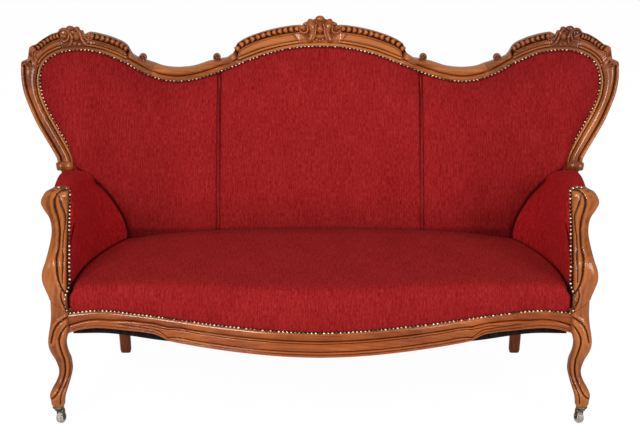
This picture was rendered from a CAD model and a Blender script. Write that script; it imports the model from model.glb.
# Carved settee: the looks of every surface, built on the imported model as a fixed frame.
# Metres, +Z up, front towards -Y. The tables below count their depth (y) from the line through
# the front feet, which lies frontSetback in front of the origin.
import bmesh
import bpy
import math
import numpy as np
from mathutils import Matrix, Vector


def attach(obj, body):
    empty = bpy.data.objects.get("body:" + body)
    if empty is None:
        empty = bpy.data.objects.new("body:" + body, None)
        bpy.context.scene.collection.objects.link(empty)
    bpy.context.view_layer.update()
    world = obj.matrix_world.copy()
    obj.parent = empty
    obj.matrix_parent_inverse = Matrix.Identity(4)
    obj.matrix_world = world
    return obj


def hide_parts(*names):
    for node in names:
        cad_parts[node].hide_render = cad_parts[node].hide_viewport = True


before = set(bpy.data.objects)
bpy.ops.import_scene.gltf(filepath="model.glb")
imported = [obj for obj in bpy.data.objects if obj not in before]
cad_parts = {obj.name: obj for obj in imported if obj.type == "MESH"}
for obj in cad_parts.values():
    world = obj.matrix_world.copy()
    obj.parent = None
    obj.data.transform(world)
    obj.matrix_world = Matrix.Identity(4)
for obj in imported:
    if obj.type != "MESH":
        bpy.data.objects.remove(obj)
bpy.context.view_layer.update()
frontSetback = 0.330
mainBody = "settee"

print("scene: camera, light and floor")
camera = {"distance": 6.48, "height": 2.15, "pitch": 14.05, "lens": 125.5}
lightRig = {
    "key": {"place": (-2.4, -5.4, 2.9), "size": 1.9, "power": 212.0},
    "fill": {"place": (3.2, -5.0, 2.2), "size": 2.2, "power": 132.0},
    "above": {"place": (0.0, -0.6, 3.8), "size": 3.0, "power": 14.0},
}
litPoint = (0.0, 0.0, 0.5)
ambient = 0.36
paper = {"half": 30.0, "tone": (0.80, 0.83), "glow": 1.05, "glowShare": 0.92}


def put(tree, kind, inputs=None, **settings):
    made = tree.nodes.new(kind)
    for key, value in settings.items():
        setattr(made, key, value)
    for key, value in (inputs or {}).items():
        if isinstance(value, bpy.types.NodeSocket):
            tree.links.new(value, made.inputs[key])
        else:
            made.inputs[key].default_value = value
    return made


def placeObject(name, data):
    made = bpy.data.objects.new(name, data)
    bpy.context.scene.collection.objects.link(made)
    return made


def placeCamera():
    data = bpy.data.cameras.new("viewCamera")
    data.sensor_width = 36.0
    data.lens = camera["lens"]
    made = placeObject("viewCamera", data)
    made.location = (0.0, -camera["distance"], camera["height"])
    made.rotation_euler = (math.radians(90.0 - camera["pitch"]), 0.0, 0.0)
    bpy.context.scene.camera = made


def placeLights():
    for name, lamp in lightRig.items():
        data = bpy.data.lights.new(name, "AREA")
        data.shape = "DISK"
        data.size = lamp["size"]
        data.energy = lamp["power"]
        made = placeObject(name, data)
        made.location = lamp["place"]
        made.rotation_euler = (Vector(litPoint) - made.location).to_track_quat("-Z", "Y").to_euler()
    world = bpy.data.worlds.new("softRoom")
    bpy.context.scene.world = world
    world.use_nodes = True
    tree = world.node_tree
    tree.nodes.clear()
    path = put(tree, "ShaderNodeLightPath")
    seen = put(tree, "ShaderNodeMath", {0: path.outputs["Is Camera Ray"],
                                        1: path.outputs["Is Transmission Ray"]}, operation="MAXIMUM")
    room = put(tree, "ShaderNodeBackground", {"Color": (1, 1, 1, 1), "Strength": ambient})
    plain = put(tree, "ShaderNodeBackground", {"Color": (1, 1, 1, 1), "Strength": 1.0})
    mix = put(tree, "ShaderNodeMixShader", {0: seen.outputs[0], 1: room.outputs[0], 2: plain.outputs[0]})
    put(tree, "ShaderNodeOutputWorld", {"Surface": mix.outputs[0]})


def placeFloor():
    # white paper: mostly its own white to the camera, with the settee's shadow kept
    made = bpy.data.materials.new("whitePaper")
    made.use_nodes = True
    tree = made.node_tree
    tree.nodes.clear()
    path = put(tree, "ShaderNodeLightPath")
    fibre = put(tree, "ShaderNodeTexNoise", {"Scale": 60.0})
    tone = put(tree, "ShaderNodeMapRange", {"Value": fibre.outputs["Fac"], "To Min": paper["tone"][0],
                                            "To Max": paper["tone"][1]})
    grey = put(tree, "ShaderNodeCombineColor", {0: tone.outputs[0], 1: tone.outputs[0], 2: tone.outputs[0]})
    lit = put(tree, "ShaderNodeBsdfDiffuse", {"Color": grey.outputs[0]})
    glow = put(tree, "ShaderNodeEmission", {"Color": (1, 1, 1, 1), "Strength": paper["glow"]})
    share = put(tree, "ShaderNodeMath", {0: path.outputs["Is Camera Ray"], 1: paper["glowShare"]},
                operation="MULTIPLY")
    mix = put(tree, "ShaderNodeMixShader", {0: share.outputs[0], 1: lit.outputs[0], 2: glow.outputs[0]})
    put(tree, "ShaderNodeOutputMaterial", {"Surface": mix.outputs[0]})
    mesh = bpy.data.meshes.new("floor")
    half = paper["half"]
    corners = [(-half, -half, 0), (half, -half, 0), (half, half, 0), (-half, half, 0)]
    mesh.from_pydata(corners, [], [(0, 1, 2, 3)])
    mesh.materials.append(made)
    floor = placeObject("floor", mesh)


bpy.context.scene.view_settings.view_transform = "Standard"
placeCamera()
placeLights()
placeFloor()

print("scene: finishes")


def startGroup(name, sockets):
    # sockets: (name, "in" or "out", kind, value)
    tree = bpy.data.node_groups.new(name, "ShaderNodeTree")
    for label, way, kind, value in sockets:
        made = tree.interface.new_socket(name=label, in_out="INPUT" if way == "in" else "OUTPUT",
                                         socket_type="NodeSocket" + kind)
        if value is not None:
            made.default_value = value
    return tree, put(tree, "NodeGroupInput"), put(tree, "NodeGroupOutput")


def stretch(tree, vector, scale):
    return put(tree, "ShaderNodeVectorMath", {0: vector, 1: scale}, operation="MULTIPLY").outputs[0]


def noise(tree, vector, scale, detail, roughness=0.5, distortion=0.0):
    # scale: repeats in a metre along each axis
    made = put(tree, "ShaderNodeTexNoise", {"Vector": stretch(tree, vector, scale), "Scale": 1.0,
                                            "Detail": detail, "Roughness": roughness,
                                            "Distortion": distortion})
    return made.outputs["Fac"]


def ramp(tree, value, low, high, toLow=0.0, toHigh=1.0):
    made = put(tree, "ShaderNodeMapRange", {"Value": value, "From Min": low, "From Max": high,
                                            "To Min": toLow, "To Max": toHigh},
               interpolation_type="SMOOTHSTEP")
    return made.outputs[0]


def blendColour(tree, share, first, second, how="MIX"):
    made = put(tree, "ShaderNodeMix", data_type="RGBA", blend_type=how)
    for socket, value in ((made.inputs[0], share), (made.inputs[6], first), (made.inputs[7], second)):
        if isinstance(value, bpy.types.NodeSocket):
            tree.links.new(value, socket)
        else:
            socket.default_value = value
    return made.outputs[2]


def maths(tree, how, first, second=0.0):
    return put(tree, "ShaderNodeMath", {0: first, 1: second}, operation=how).outputs[0]


def plus(tree, first, second):
    return maths(tree, "ADD", first, second)


def times(tree, first, second):
    return maths(tree, "MULTIPLY", first, second)


def sumOf(tree, *parts):
    # parts: (value, weight)
    total = None
    for value, weight in parts:
        part = times(tree, value, weight)
        total = part if total is None else plus(tree, total, part)
    return total


def grainGroup():
    # the vector's X runs along the grain; Hollow is above 0 in recesses and below 0 on ridges
    tree, given, result = startGroup("woodGrain", [
        ("Vector", "in", "Vector", None), ("Hollow", "in", "Float", 0.0),
        ("Pale", "in", "Color", (0.45, 0.115, 0.0175, 1)),
        ("Middle", "in", "Color", (0.245, 0.048, 0.0062, 1)),
        ("Dark", "in", "Color", (0.100, 0.0165, 0.0030, 1)),
        ("Recess", "in", "Color", (0.034, 0.0070, 0.0024, 1)), ("Colour", "out", "Color", None),
        ("Roughness", "out", "Float", None), ("Height", "out", "Float", None)])
    vector, hollow = given.outputs["Vector"], given.outputs["Hollow"]
    broad = noise(tree, vector, (2.2, 17.0, 17.0), 3.0, distortion=0.5)
    wave = put(tree, "ShaderNodeTexWave", {"Vector": stretch(tree, vector, (1.4, 26.0, 26.0)), "Scale": 1.6,
                                           "Distortion": 7.0, "Detail": 3.0, "Detail Scale": 0.8},
               bands_direction="DIAGONAL")
    fine = noise(tree, vector, (26.0, 620.0, 620.0), 2.0)
    blotch = noise(tree, vector, (7.0, 7.0, 7.0), 5.0, 0.62)
    figure = sumOf(tree, (broad, 0.52), (wave.outputs["Fac"], 0.06), (blotch, 0.42))
    colour = blendColour(tree, ramp(tree, figure, 0.24, 0.50), given.outputs["Dark"], given.outputs["Middle"])
    colour = blendColour(tree, ramp(tree, figure, 0.42, 0.70), colour, given.outputs["Pale"])
    pores = ramp(tree, fine, 0.30, 0.44, 0.62, 1.0)
    poreTone = put(tree, "ShaderNodeCombineColor", {0: pores, 1: pores, 2: pores}).outputs[0]
    colour = blendColour(tree, 0.55, colour, poreTone, "MULTIPLY")
    stain = times(tree, ramp(tree, hollow, -0.10, 0.75), 0.80)
    colour = blendColour(tree, stain, colour, given.outputs["Dark"])
    dirt = times(tree, ramp(tree, hollow, 0.45, 1.45), ramp(tree, blotch, 0.20, 0.55, 0.78, 1.0))
    colour = blendColour(tree, dirt, colour, given.outputs["Recess"])
    rubbed = times(tree, ramp(tree, hollow, -0.12, -0.95), 0.72)
    colour = blendColour(tree, rubbed, colour, given.outputs["Pale"])
    tree.links.new(colour, result.inputs["Colour"])
    gloss = plus(tree, ramp(tree, blotch, 0.3, 0.7, 0.24, 0.36), times(tree, dirt, 0.35))
    tree.links.new(gloss, result.inputs["Roughness"])
    tree.links.new(plus(tree, times(tree, fine, 0.5), broad), result.inputs["Height"])
    return tree


def weaveGroup():
    # the vector is in metres, X across the threads and Y along them
    tree, given, result = startGroup("ribbedCloth", [
        ("Vector", "in", "Vector", None), ("Cloth", "in", "Color", (0.315, 0.0135, 0.0140, 1)),
        ("Lit thread", "in", "Color", (0.405, 0.030, 0.030, 1)),
        ("Gap", "in", "Color", (0.175, 0.0045, 0.0055, 1)), ("Thread", "in", "Float", 0.0017),
        ("Crease", "in", "Float", 0.0), ("Welt", "in", "Float", 0.0),
        ("Colour", "out", "Color", None), ("Height", "out", "Float", None)])
    vector, seamTone, tuftLength = given.outputs["Vector"], (0.022, 0.0012, 0.0015, 1), 0.0021
    slub = noise(tree, vector, (290.0, 80.0, 1.0), 3.0, 0.62)
    nap = noise(tree, vector, (760.0, 260.0, 1.0), 2.0)
    yarn = noise(tree, vector, (330.0, 20.0, 1.0), 3.0, 0.55)
    shade = noise(tree, vector, (11.0, 6.0, 1.0), 3.0)
    split = put(tree, "ShaderNodeSeparateXYZ", {0: vector})
    threads = maths(tree, "DIVIDE", split.outputs[0], given.outputs["Thread"])
    across = plus(tree, threads, times(tree, slub, 1.1))
    ribLift = ramp(tree, maths(tree, "SINE", times(tree, across, math.tau)), -1.0, 1.0)
    tuft = maths(tree, "SINE", times(tree, maths(tree, "DIVIDE", split.outputs[1], tuftLength), math.tau))
    height = sumOf(tree, (ribLift, 0.55), (nap, 0.55), (tuft, 0.10))
    tone = sumOf(tree, (slub, 0.62), (height, 0.24), (yarn, 0.46), (shade, 0.14))
    colour = blendColour(tree, ramp(tree, tone, 0.56, 0.78), given.outputs["Gap"], given.outputs["Cloth"])
    colour = blendColour(tree, ramp(tree, tone, 0.75, 0.97), colour, given.outputs["Lit thread"])
    colour = blendColour(tree, times(tree, given.outputs["Crease"], 0.88), colour, seamTone)
    # Welt is 0 away from the stitched seams and rises to 0.05 on them: two dark lines with a rib between
    side = maths(tree, "ABSOLUTE", maths(tree, "SUBTRACT", given.outputs["Welt"], 0.0443))
    colour = blendColour(tree, ramp(tree, side, 0.0006, 0.0024, 0.62, 0.0), colour, seamTone)
    tree.links.new(colour, result.inputs["Colour"])
    rib = ramp(tree, given.outputs["Welt"], 0.0445, 0.0485, 0.0, 1.6)
    tree.links.new(plus(tree, height, rib), result.inputs["Height"])
    return tree


woodGrain = grainGroup()
ribbedCloth = weaveGroup()


def startMaterial(name, **values):
    made = bpy.data.materials.new(name)
    made.use_nodes = True
    tree = made.node_tree
    shader = tree.nodes["Principled BSDF"]
    for key, value in values.items():
        shader.inputs[key.replace("_", " ")].default_value = value
    return made, tree, shader


def bumpInto(tree, shader, height, strength, distance):
    bump = put(tree, "ShaderNodeBump", {"Height": height, "Strength": strength, "Distance": distance})
    tree.links.new(bump.outputs[0], shader.inputs["Normal"])


def woodFinish(name, turn, tones, offset, coat=0.52):
    # turn: rotation that lays the grain's X along the piece
    made, tree, shader = startMaterial(name, Coat_Weight=coat, Coat_Roughness=0.12, IOR=1.48,
                                       Specular_IOR_Level=0.10)
    where = put(tree, "ShaderNodeTexCoord")
    mapping = put(tree, "ShaderNodeMapping", {"Vector": where.outputs["Object"], "Rotation": turn,
                                              "Location": offset})
    hollow = put(tree, "ShaderNodeAttribute", attribute_name="hollow")
    grain = put(tree, "ShaderNodeGroup", node_tree=woodGrain)
    for key, value in tones.items():
        grain.inputs[key].default_value = (*value, 1)
    tree.links.new(mapping.outputs[0], grain.inputs["Vector"])
    tree.links.new(hollow.outputs["Fac"], grain.inputs["Hollow"])
    tree.links.new(grain.outputs["Colour"], shader.inputs["Base Color"])
    tree.links.new(grain.outputs["Roughness"], shader.inputs["Roughness"])
    bumpInto(tree, shader, grain.outputs["Height"], 0.10, 0.0004)
    return made


def clothFinish(name, tones=None, thread=0.0017, sheen=0.05, bump=0.5, onObject=False):
    made, tree, shader = startMaterial(name, Roughness=0.92, Sheen_Weight=sheen, Sheen_Roughness=0.45,
                                       Sheen_Tint=(0.90, 0.16, 0.16, 1), Specular_IOR_Level=0.03)
    where = put(tree, "ShaderNodeTexCoord") if onObject else put(tree, "ShaderNodeUVMap", uv_map="weave")
    cloth = put(tree, "ShaderNodeGroup", node_tree=ribbedCloth)
    cloth.inputs["Thread"].default_value = thread
    for key, value in (tones or {}).items():
        cloth.inputs[key].default_value = (*value, 1)
    crease = put(tree, "ShaderNodeAttribute", attribute_name="seamShade")
    tree.links.new(crease.outputs["Fac"], cloth.inputs["Crease"])
    welt = put(tree, "ShaderNodeAttribute", attribute_name="weltNear")
    tree.links.new(welt.outputs["Fac"], cloth.inputs["Welt"])
    tree.links.new(where.outputs["Object" if onObject else "UV"], cloth.inputs["Vector"])
    tree.links.new(cloth.outputs["Colour"], shader.inputs["Base Color"])
    bumpInto(tree, shader, cloth.outputs["Height"], bump, 0.0008)
    return made


def metalFinish(name, colour, dull, low, high, scale=140.0, metallic=1.0, dullRim=0.0):
    # colour rubbed through a dull coat, by noise and by the "tone" of each small piece
    made, tree, shader = startMaterial(name, Metallic=metallic)
    where = put(tree, "ShaderNodeTexCoord")
    tone = put(tree, "ShaderNodeAttribute", attribute_name="tone")
    spots = noise(tree, where.outputs["Object"], (scale, scale, scale), 4.0, 0.65)
    worn = plus(tree, spots, times(tree, tone.outputs["Fac"], 0.22))
    if dullRim:
        rim = put(tree, "ShaderNodeAttribute", attribute_name="hollow")
        worn = plus(tree, worn, ramp(tree, rim.outputs["Fac"], -0.85, 0.10, 0.0, -dullRim))
    shown = blendColour(tree, ramp(tree, worn, 0.38, 0.66), (*dull, 1), (*colour, 1))
    tree.links.new(shown, shader.inputs["Base Color"])
    tree.links.new(ramp(tree, worn, 0.30, 0.75, high, low), shader.inputs["Roughness"])
    bumpInto(tree, shader, spots, 0.25, 0.0003)
    return made


alongX = (0.0, 0.0, 0.0)
alongY = (0.0, 0.0, math.radians(-90))
alongZ = (0.0, math.radians(90), 0.0)
# each wood: way of its grain, tones, place in the timber, and its coat where that isn't the usual one
beechTones = {"Pale": (0.62, 0.42, 0.24), "Middle": (0.50, 0.31, 0.16), "Dark": (0.36, 0.20, 0.09)}
woods = {
    "walnutAcross": (alongX, {}, (0.0, 0.0, 0.0)),
    "walnutCrest": (alongX, {"Pale": (0.52, 0.168, 0.040), "Middle": (0.285, 0.071, 0.0145),
                             "Dark": (0.115, 0.0245, 0.0060)}, (0.2, 0.6, 0.3)),
    "walnutShoulders": (alongX, {"Pale": (0.34, 0.102, 0.027), "Middle": (0.170, 0.0410, 0.0095),
                                 "Dark": (0.068, 0.0140, 0.0042)}, (0.7, 0.1, 0.4)),
    "walnutUpright": (alongZ, {"Pale": (0.43, 0.128, 0.0260), "Middle": (0.205, 0.047, 0.0088)},
                      (0.31, 0.17, 0.05)),
    "walnutDeep": (alongY, {}, (0.11, 0.07, 0.45)),
    "carving": (alongX, {"Middle": (0.27, 0.062, 0.0110), "Pale": (0.52, 0.160, 0.035)}, (0.4, 0.2, 0.1)),
    "carvingDark": (alongX, {"Middle": (0.155, 0.036, 0.0085), "Pale": (0.34, 0.100, 0.026),
                             "Dark": (0.065, 0.013, 0.004)}, (0.1, 0.5, 0.2)),
    "walnutShaded": (alongZ, {"Pale": (0.34, 0.086, 0.017), "Middle": (0.20, 0.043, 0.008),
                              "Dark": (0.09, 0.018, 0.004)}, (0.5, 0.3, 0.2)),
    "beech": (alongX, beechTones, (0.0, 0.0, 0.0), 0.0),
    "beechUpright": (alongZ, beechTones, (0.0, 0.0, 0.0), 0.0),
}
cloths = {
    "crimson": {},
    "crimsonArms": {"tones": {"Cloth": (0.39, 0.0100, 0.0115), "Lit thread": (0.53, 0.0260, 0.0280),
                              "Gap": (0.21, 0.0030, 0.0040)}, "sheen": 0.04},
    "lining": {"tones": {"Cloth": (0.013, 0.013, 0.014), "Lit thread": (0.030, 0.030, 0.032),
                         "Gap": (0.005, 0.005, 0.005)}, "thread": 0.0008, "sheen": 0.1, "bump": 0.3},
    "webbing": {"tones": {"Cloth": (0.40, 0.28, 0.15), "Lit thread": (0.55, 0.42, 0.25),
                          "Gap": (0.16, 0.10, 0.05)}, "thread": 0.0024, "bump": 0.9, "onObject": True},
}
# each metal: its colour, its dull coat, its smoothest and roughest parts, then what isn't usual
metals = {
    "nailBrass": ((0.68, 0.59, 0.42), (0.085, 0.055, 0.032), 0.26, 0.48, 90.0, 0.80, 0.45),
    "casterBrass": ((0.34, 0.27, 0.17), (0.045, 0.038, 0.032), 0.30, 0.55),
    "springSteel": ((0.50, 0.40, 0.30), (0.16, 0.10, 0.07), 0.28, 0.50),
    "porcelain": ((0.66, 0.62, 0.54), (0.20, 0.17, 0.13), 0.16, 0.42, 220.0, 0.0),
}
finish = {name: woodFinish(name, *wood) for name, wood in woods.items()}
finish.update({name: clothFinish(name, **cloth) for name, cloth in cloths.items()})
finish.update({name: metalFinish(name, *metal) for name, metal in metals.items()})

print("scene: shared shapes")


def curveThrough(knots, values, at):
    # smooth curve through control values, read at one place or at many
    knots = np.asarray(knots, float)
    values = np.asarray(values, float)
    at = np.clip(np.asarray(at, float), knots[0], knots[-1])
    span = np.clip(np.searchsorted(knots, at, side="right") - 1, 0, len(knots) - 2)
    slope = np.gradient(values, knots, axis=0, edge_order=1)
    width = knots[span + 1] - knots[span]
    t = (at - knots[span]) / width
    if values.ndim > 1 and np.ndim(t) > 0:
        t = t[..., None]
        width = width[..., None]
    start = values[span] * (2 * t**3 - 3 * t**2 + 1) + slope[span] * width * (t**3 - 2 * t**2 + t)
    return start + values[span + 1] * (3 * t**2 - 2 * t**3) + slope[span + 1] * width * (t**3 - t**2)


def readTable(rows, at, column=1):
    data = np.asarray(rows, float)
    return curveThrough(data[:, 0], data[:, column], at)


def smoothStep(value, low, high):
    t = np.clip((np.asarray(value, float) - low) / (high - low), 0, 1)
    return t * t * (3 - 2 * t)


def roll(value, centre, half, height, base=0.0):
    # rounded bead across a moulding: base outside it, base + height on its back
    t = (value - centre) / half
    return base + height * np.sqrt(np.clip(1 - t * t, 0, None))


def hump(value, centre, half, height):
    return height * np.exp(-((value - centre) / half) ** 2)


def cut(value, centre, half, depth):
    return -hump(value, centre, half, depth)


def backFace(x, z):
    # depth of the front face of the back frame
    return 0.600 + 0.18 * (z - 0.42) - 0.075 * (np.abs(x) / 0.92) ** 3


def ringFaces(rings, around, closedEnds=True):
    faces = []
    for row in range(rings - 1):
        low = row * around
        for column in range(around):
            after = (column + 1) % around
            faces.append((low + column, low + after, low + around + after, low + around + column))
    if closedEnds:
        faces.append(tuple(reversed(range(around))))
        faces.append(tuple(range((rings - 1) * around, rings * around)))
    return faces


def gridFaces(rows, columns, start=0):
    corner = (np.arange(rows - 1)[:, None] * columns + np.arange(columns - 1)[None, :]).ravel() + start
    return np.stack([corner, corner + 1, corner + columns + 1, corner + columns], 1).tolist()


def makePiece(name, verts, faces, surface, sharp=None, outward=True):
    verts = np.asarray(verts, float).reshape(-1, 3) - (0.0, frontSetback, 0.0)
    mesh = bpy.data.meshes.new(name)
    mesh.from_pydata(verts.tolist(), [], faces)
    if outward:
        work = bmesh.new()
        work.from_mesh(mesh)
        bmesh.ops.recalc_face_normals(work, faces=work.faces)
        work.to_mesh(mesh)
        work.free()
    mesh.shade_smooth()
    if sharp:
        mesh.set_sharp_from_angle(angle=math.radians(sharp))
    mesh.materials.append(finish[surface])
    return placeObject(name, mesh)


def readPoints(mesh):
    points = np.empty(len(mesh.vertices) * 3)
    mesh.vertices.foreach_get("co", points)
    return points.reshape(-1, 3)


def readNormals(mesh):
    normals = np.empty(len(mesh.vertices) * 3)
    mesh.vertices.foreach_get("normal", normals)
    return normals.reshape(-1, 3)


def bakedMesh(piece):
    # the piece's mesh with its modifiers applied
    mesh = bpy.data.meshes.new_from_object(piece.evaluated_get(bpy.context.evaluated_depsgraph_get()))
    piece.modifiers.clear()
    return mesh


def storeValues(piece, name, values):
    layer = piece.data.attributes.new(name, "FLOAT", "POINT")
    layer.data.foreach_set("value", np.asarray(values).astype(np.float32))


def lengthAlong(points):
    # distance of each point of a line from its start
    return np.r_[0, np.cumsum(np.linalg.norm(np.diff(np.asarray(points, float), axis=0), axis=1))]


def readEdges(mesh):
    edges = np.empty(len(mesh.edges) * 2, int)
    mesh.edges.foreach_get("vertices", edges)
    return edges.reshape(-1, 2)


def relax(points, edges, rounds):
    # each point moves to the mean of its neighbours, so many times
    count = len(points)
    ends = np.concatenate([edges[:, 0], edges[:, 1]])
    others = np.concatenate([edges[:, 1], edges[:, 0]])
    share = np.maximum(np.bincount(ends, minlength=count), 1)
    for step in range(rounds):
        total = np.stack([np.bincount(ends, points[others, axis], count) for axis in range(3)], 1)
        points = 0.5 * points + 0.5 * total / share[:, None]
    return points


def markHollows(piece, rounds=24, full=0.0011, shaded=0.0):
    # stores how far each point lies below (+) or above (-) the smoothed shape, near by and further off
    mesh = piece.data
    points, normals, edges = readPoints(mesh), readNormals(mesh), readEdges(mesh)
    near = relax(points, edges, rounds)
    wide = relax(near, edges, 3 * rounds)
    lift = 0.75 * ((near - points) * normals).sum(1) / full
    lift = lift + 0.55 * ((wide - points) * normals).sum(1) / (2.2 * full) + shaded
    storeValues(piece, "hollow", np.clip(lift, -1.5, 1.5))


def finishPiece(piece, *solids, body=mainBody, slot=None):
    # puts the piece on its body and in place of the solids it stands for
    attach(piece, body)
    if solids:
        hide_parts(*solids)
    return piece


def sideName(side):
    return "right" if side > 0 else "left"


def joinShapes(shapes):
    # several (points, faces) into one list of points and faces
    verts, faces = [], []
    for points, polygons in shapes:
        start = len(verts)
        verts += [tuple(point) for point in points]
        faces += [tuple(index + start for index in polygon) for polygon in polygons]
    return verts, faces


def ball(centre, radii, rings=10, around=16, turn=0.0):
    # egg shape with its long axes across, turned in the plane of the back
    points = []
    for row in range(rings + 1):
        polar = math.pi * (row + 0.02) / (rings + 0.04)
        for column in range(around):
            angle = 2 * math.pi * column / around
            flat = math.sin(polar)
            local = Vector((radii[0] * flat * math.cos(angle), radii[1] * flat * math.sin(angle),
                            radii[2] * math.cos(polar)))
            points.append(Vector(centre) + Matrix.Rotation(turn, 3, "Y") @ local)
    return points, ringFaces(rings + 1, around)


def strap(path, around=12, steps=28):
    # rounded band along (x, y, z, half width, half depth), for scrolls and leaves
    rows = np.asarray(path, float)
    length = lengthAlong(rows[:, :3])
    read = curveThrough(length, rows, np.linspace(0, length[-1], steps))
    points = []
    for index in range(steps):
        here = Vector(read[index, :3])
        along = Vector(read[min(index + 1, steps - 1), :3]) - Vector(read[max(index - 1, 0), :3])
        side = along.cross(Vector((0, 1, 0))).normalized()
        for turn in range(around):
            angle = 2 * math.pi * turn / around
            points.append(here + side * (abs(read[index, 3]) * math.cos(angle)) +
                          Vector((0, abs(read[index, 4]) * math.sin(angle), 0)))
    return points, ringFaces(steps, around)


def carveTogether(name, shapes, surface, voxel, rounds):
    # melts overlapping shapes into one carved body
    verts, faces = joinShapes(shapes)
    piece = makePiece(name, verts, faces, surface)
    grid = piece.modifiers.new("melt", "REMESH")
    grid.mode = "VOXEL"
    grid.voxel_size = voxel
    solid = bakedMesh(piece)
    points = relax(readPoints(solid), readEdges(solid), rounds)
    solid.vertices.foreach_set("co", points.ravel())
    solid.update()
    solid.shade_smooth()
    solid.materials.clear()
    solid.materials.append(finish[surface])
    piece.data = solid
    return piece


print("scene: carved back frame")
backRail = {
    # right half from the middle of the crest to the foot of the stile, one row a station: (x, z)
    "nailLine": (
        (0.000, 0.993), (0.062, 0.990), (0.120, 0.981), (0.175, 0.967), (0.222, 0.950), (0.258, 0.936),
        (0.290, 0.924), (0.335, 0.908), (0.385, 0.894), (0.440, 0.887), (0.490, 0.893), (0.523, 0.904),
        (0.560, 0.921), (0.590, 0.939), (0.612, 0.950), (0.640, 0.963), (0.680, 0.978), (0.725, 0.987),
        (0.765, 0.988), (0.800, 0.982), (0.828, 0.970), (0.846, 0.955), (0.856, 0.938), (0.861, 0.920),
        (0.864, 0.898), (0.862, 0.875), (0.855, 0.845), (0.835, 0.799), (0.805, 0.744), (0.780, 0.697),
        (0.766, 0.667), (0.757, 0.628)),
    "outerEdge": (
        (0.000, 1.058), (0.068, 1.056), (0.135, 1.046), (0.195, 1.029), (0.245, 1.007), (0.272, 0.983),
        (0.300, 0.958), (0.347, 0.945), (0.393, 0.931), (0.440, 0.927), (0.482, 0.931), (0.511, 0.941),
        (0.547, 0.957), (0.569, 0.968), (0.588, 0.990), (0.620, 1.013), (0.665, 1.029), (0.722, 1.040),
        (0.775, 1.042), (0.822, 1.036), (0.862, 1.018), (0.892, 0.998), (0.906, 0.972), (0.919, 0.943),
        (0.918, 0.905), (0.912, 0.869), (0.902, 0.838), (0.877, 0.777), (0.847, 0.722), (0.822, 0.678),
        (0.812, 0.655), (0.8115, 0.628)),
    # steps of the outer edge at the carvings: (station, x, z)
    "steps": (
        (0.0, 0.000, 1.040), (0.55, 0.037, 1.040), (0.72, 0.0475, 1.0405), (0.80, 0.052, 1.048),
        (0.90, 0.060, 1.0555), (1.2, 0.081, 1.0545), (2.0, 0.135, 1.046), (3.0, 0.195, 1.030),
        (4.0, 0.243, 1.010), (4.35, 0.2575, 1.000), (4.50, 0.2625, 0.990), (4.65, 0.2655, 0.978),
        (4.9, 0.274, 0.966), (5.3, 0.289, 0.956), (6.0, 0.305, 0.9535), (6.6, 0.330, 0.948),
        (7.0, 0.347, 0.945), (11.0, 0.511, 0.941), (12.0, 0.545, 0.952), (12.7, 0.566, 0.960),
        (13.1, 0.578, 0.967), (13.4, 0.586, 0.977), (13.6, 0.5905, 0.986), (13.8, 0.597, 0.997),
        (14.2, 0.607, 1.005), (15.0, 0.624, 1.0135), (16.0, 0.665, 1.029), (16.6, 0.695, 1.037),
        (16.9, 0.712, 1.0395), (17.05, 0.722, 1.036), (17.2, 0.731, 1.030), (17.4, 0.740, 1.030),
        (18.4, 0.792, 1.030), (18.7, 0.800, 1.036), (18.85, 0.806, 1.0435), (19.0, 0.815, 1.040),
        (19.4, 0.830, 1.036), (20.0, 0.853, 1.0235), (20.6, 0.876, 1.006), (20.75, 0.886, 1.004),
        (21.0, 0.8935, 1.000), (21.5, 0.897, 0.984), (22.0, 0.8985, 0.967), (22.15, 0.902, 0.9615),
        (22.35, 0.912, 0.959), (22.6, 0.9175, 0.957), (22.85, 0.919, 0.950), (23.1, 0.9185, 0.940),
        (24.0, 0.918, 0.905)),
    "crestJoint": 11.0, "stileJoint": 25.0, "lastStation": 31.0, "gap": 0.006,
    "stationStep": 0.0016, "frontPoints": 84,
    "arches": ((-1.0, -0.5, 4.45, 4.95), (13.3, 13.8, 21.5, 22.1)),      # fade in and out, by station
    "panels": ((1.02, 4.72), (13.9, 16.40), (18.72, 21.35)),
    "plinths": ((-1.0, 0.93), (16.92, 18.72)),                           # flat ground under the cartouches
    "corner": (20.62, 20.80, 22.05, 22.25),
    "stileFade": (21.7, 22.3),
    # behind the face: (share from nails to outer edge, depth)
    "rear": ((1.0, 0.003), (0.985, 0.014), (0.95, 0.032), (0.90, 0.040), (0.60, 0.040), (0.26, 0.040),
             (0.26, 0.036), (-0.14, 0.036)),
    "innerLip": -0.14,
}
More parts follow.
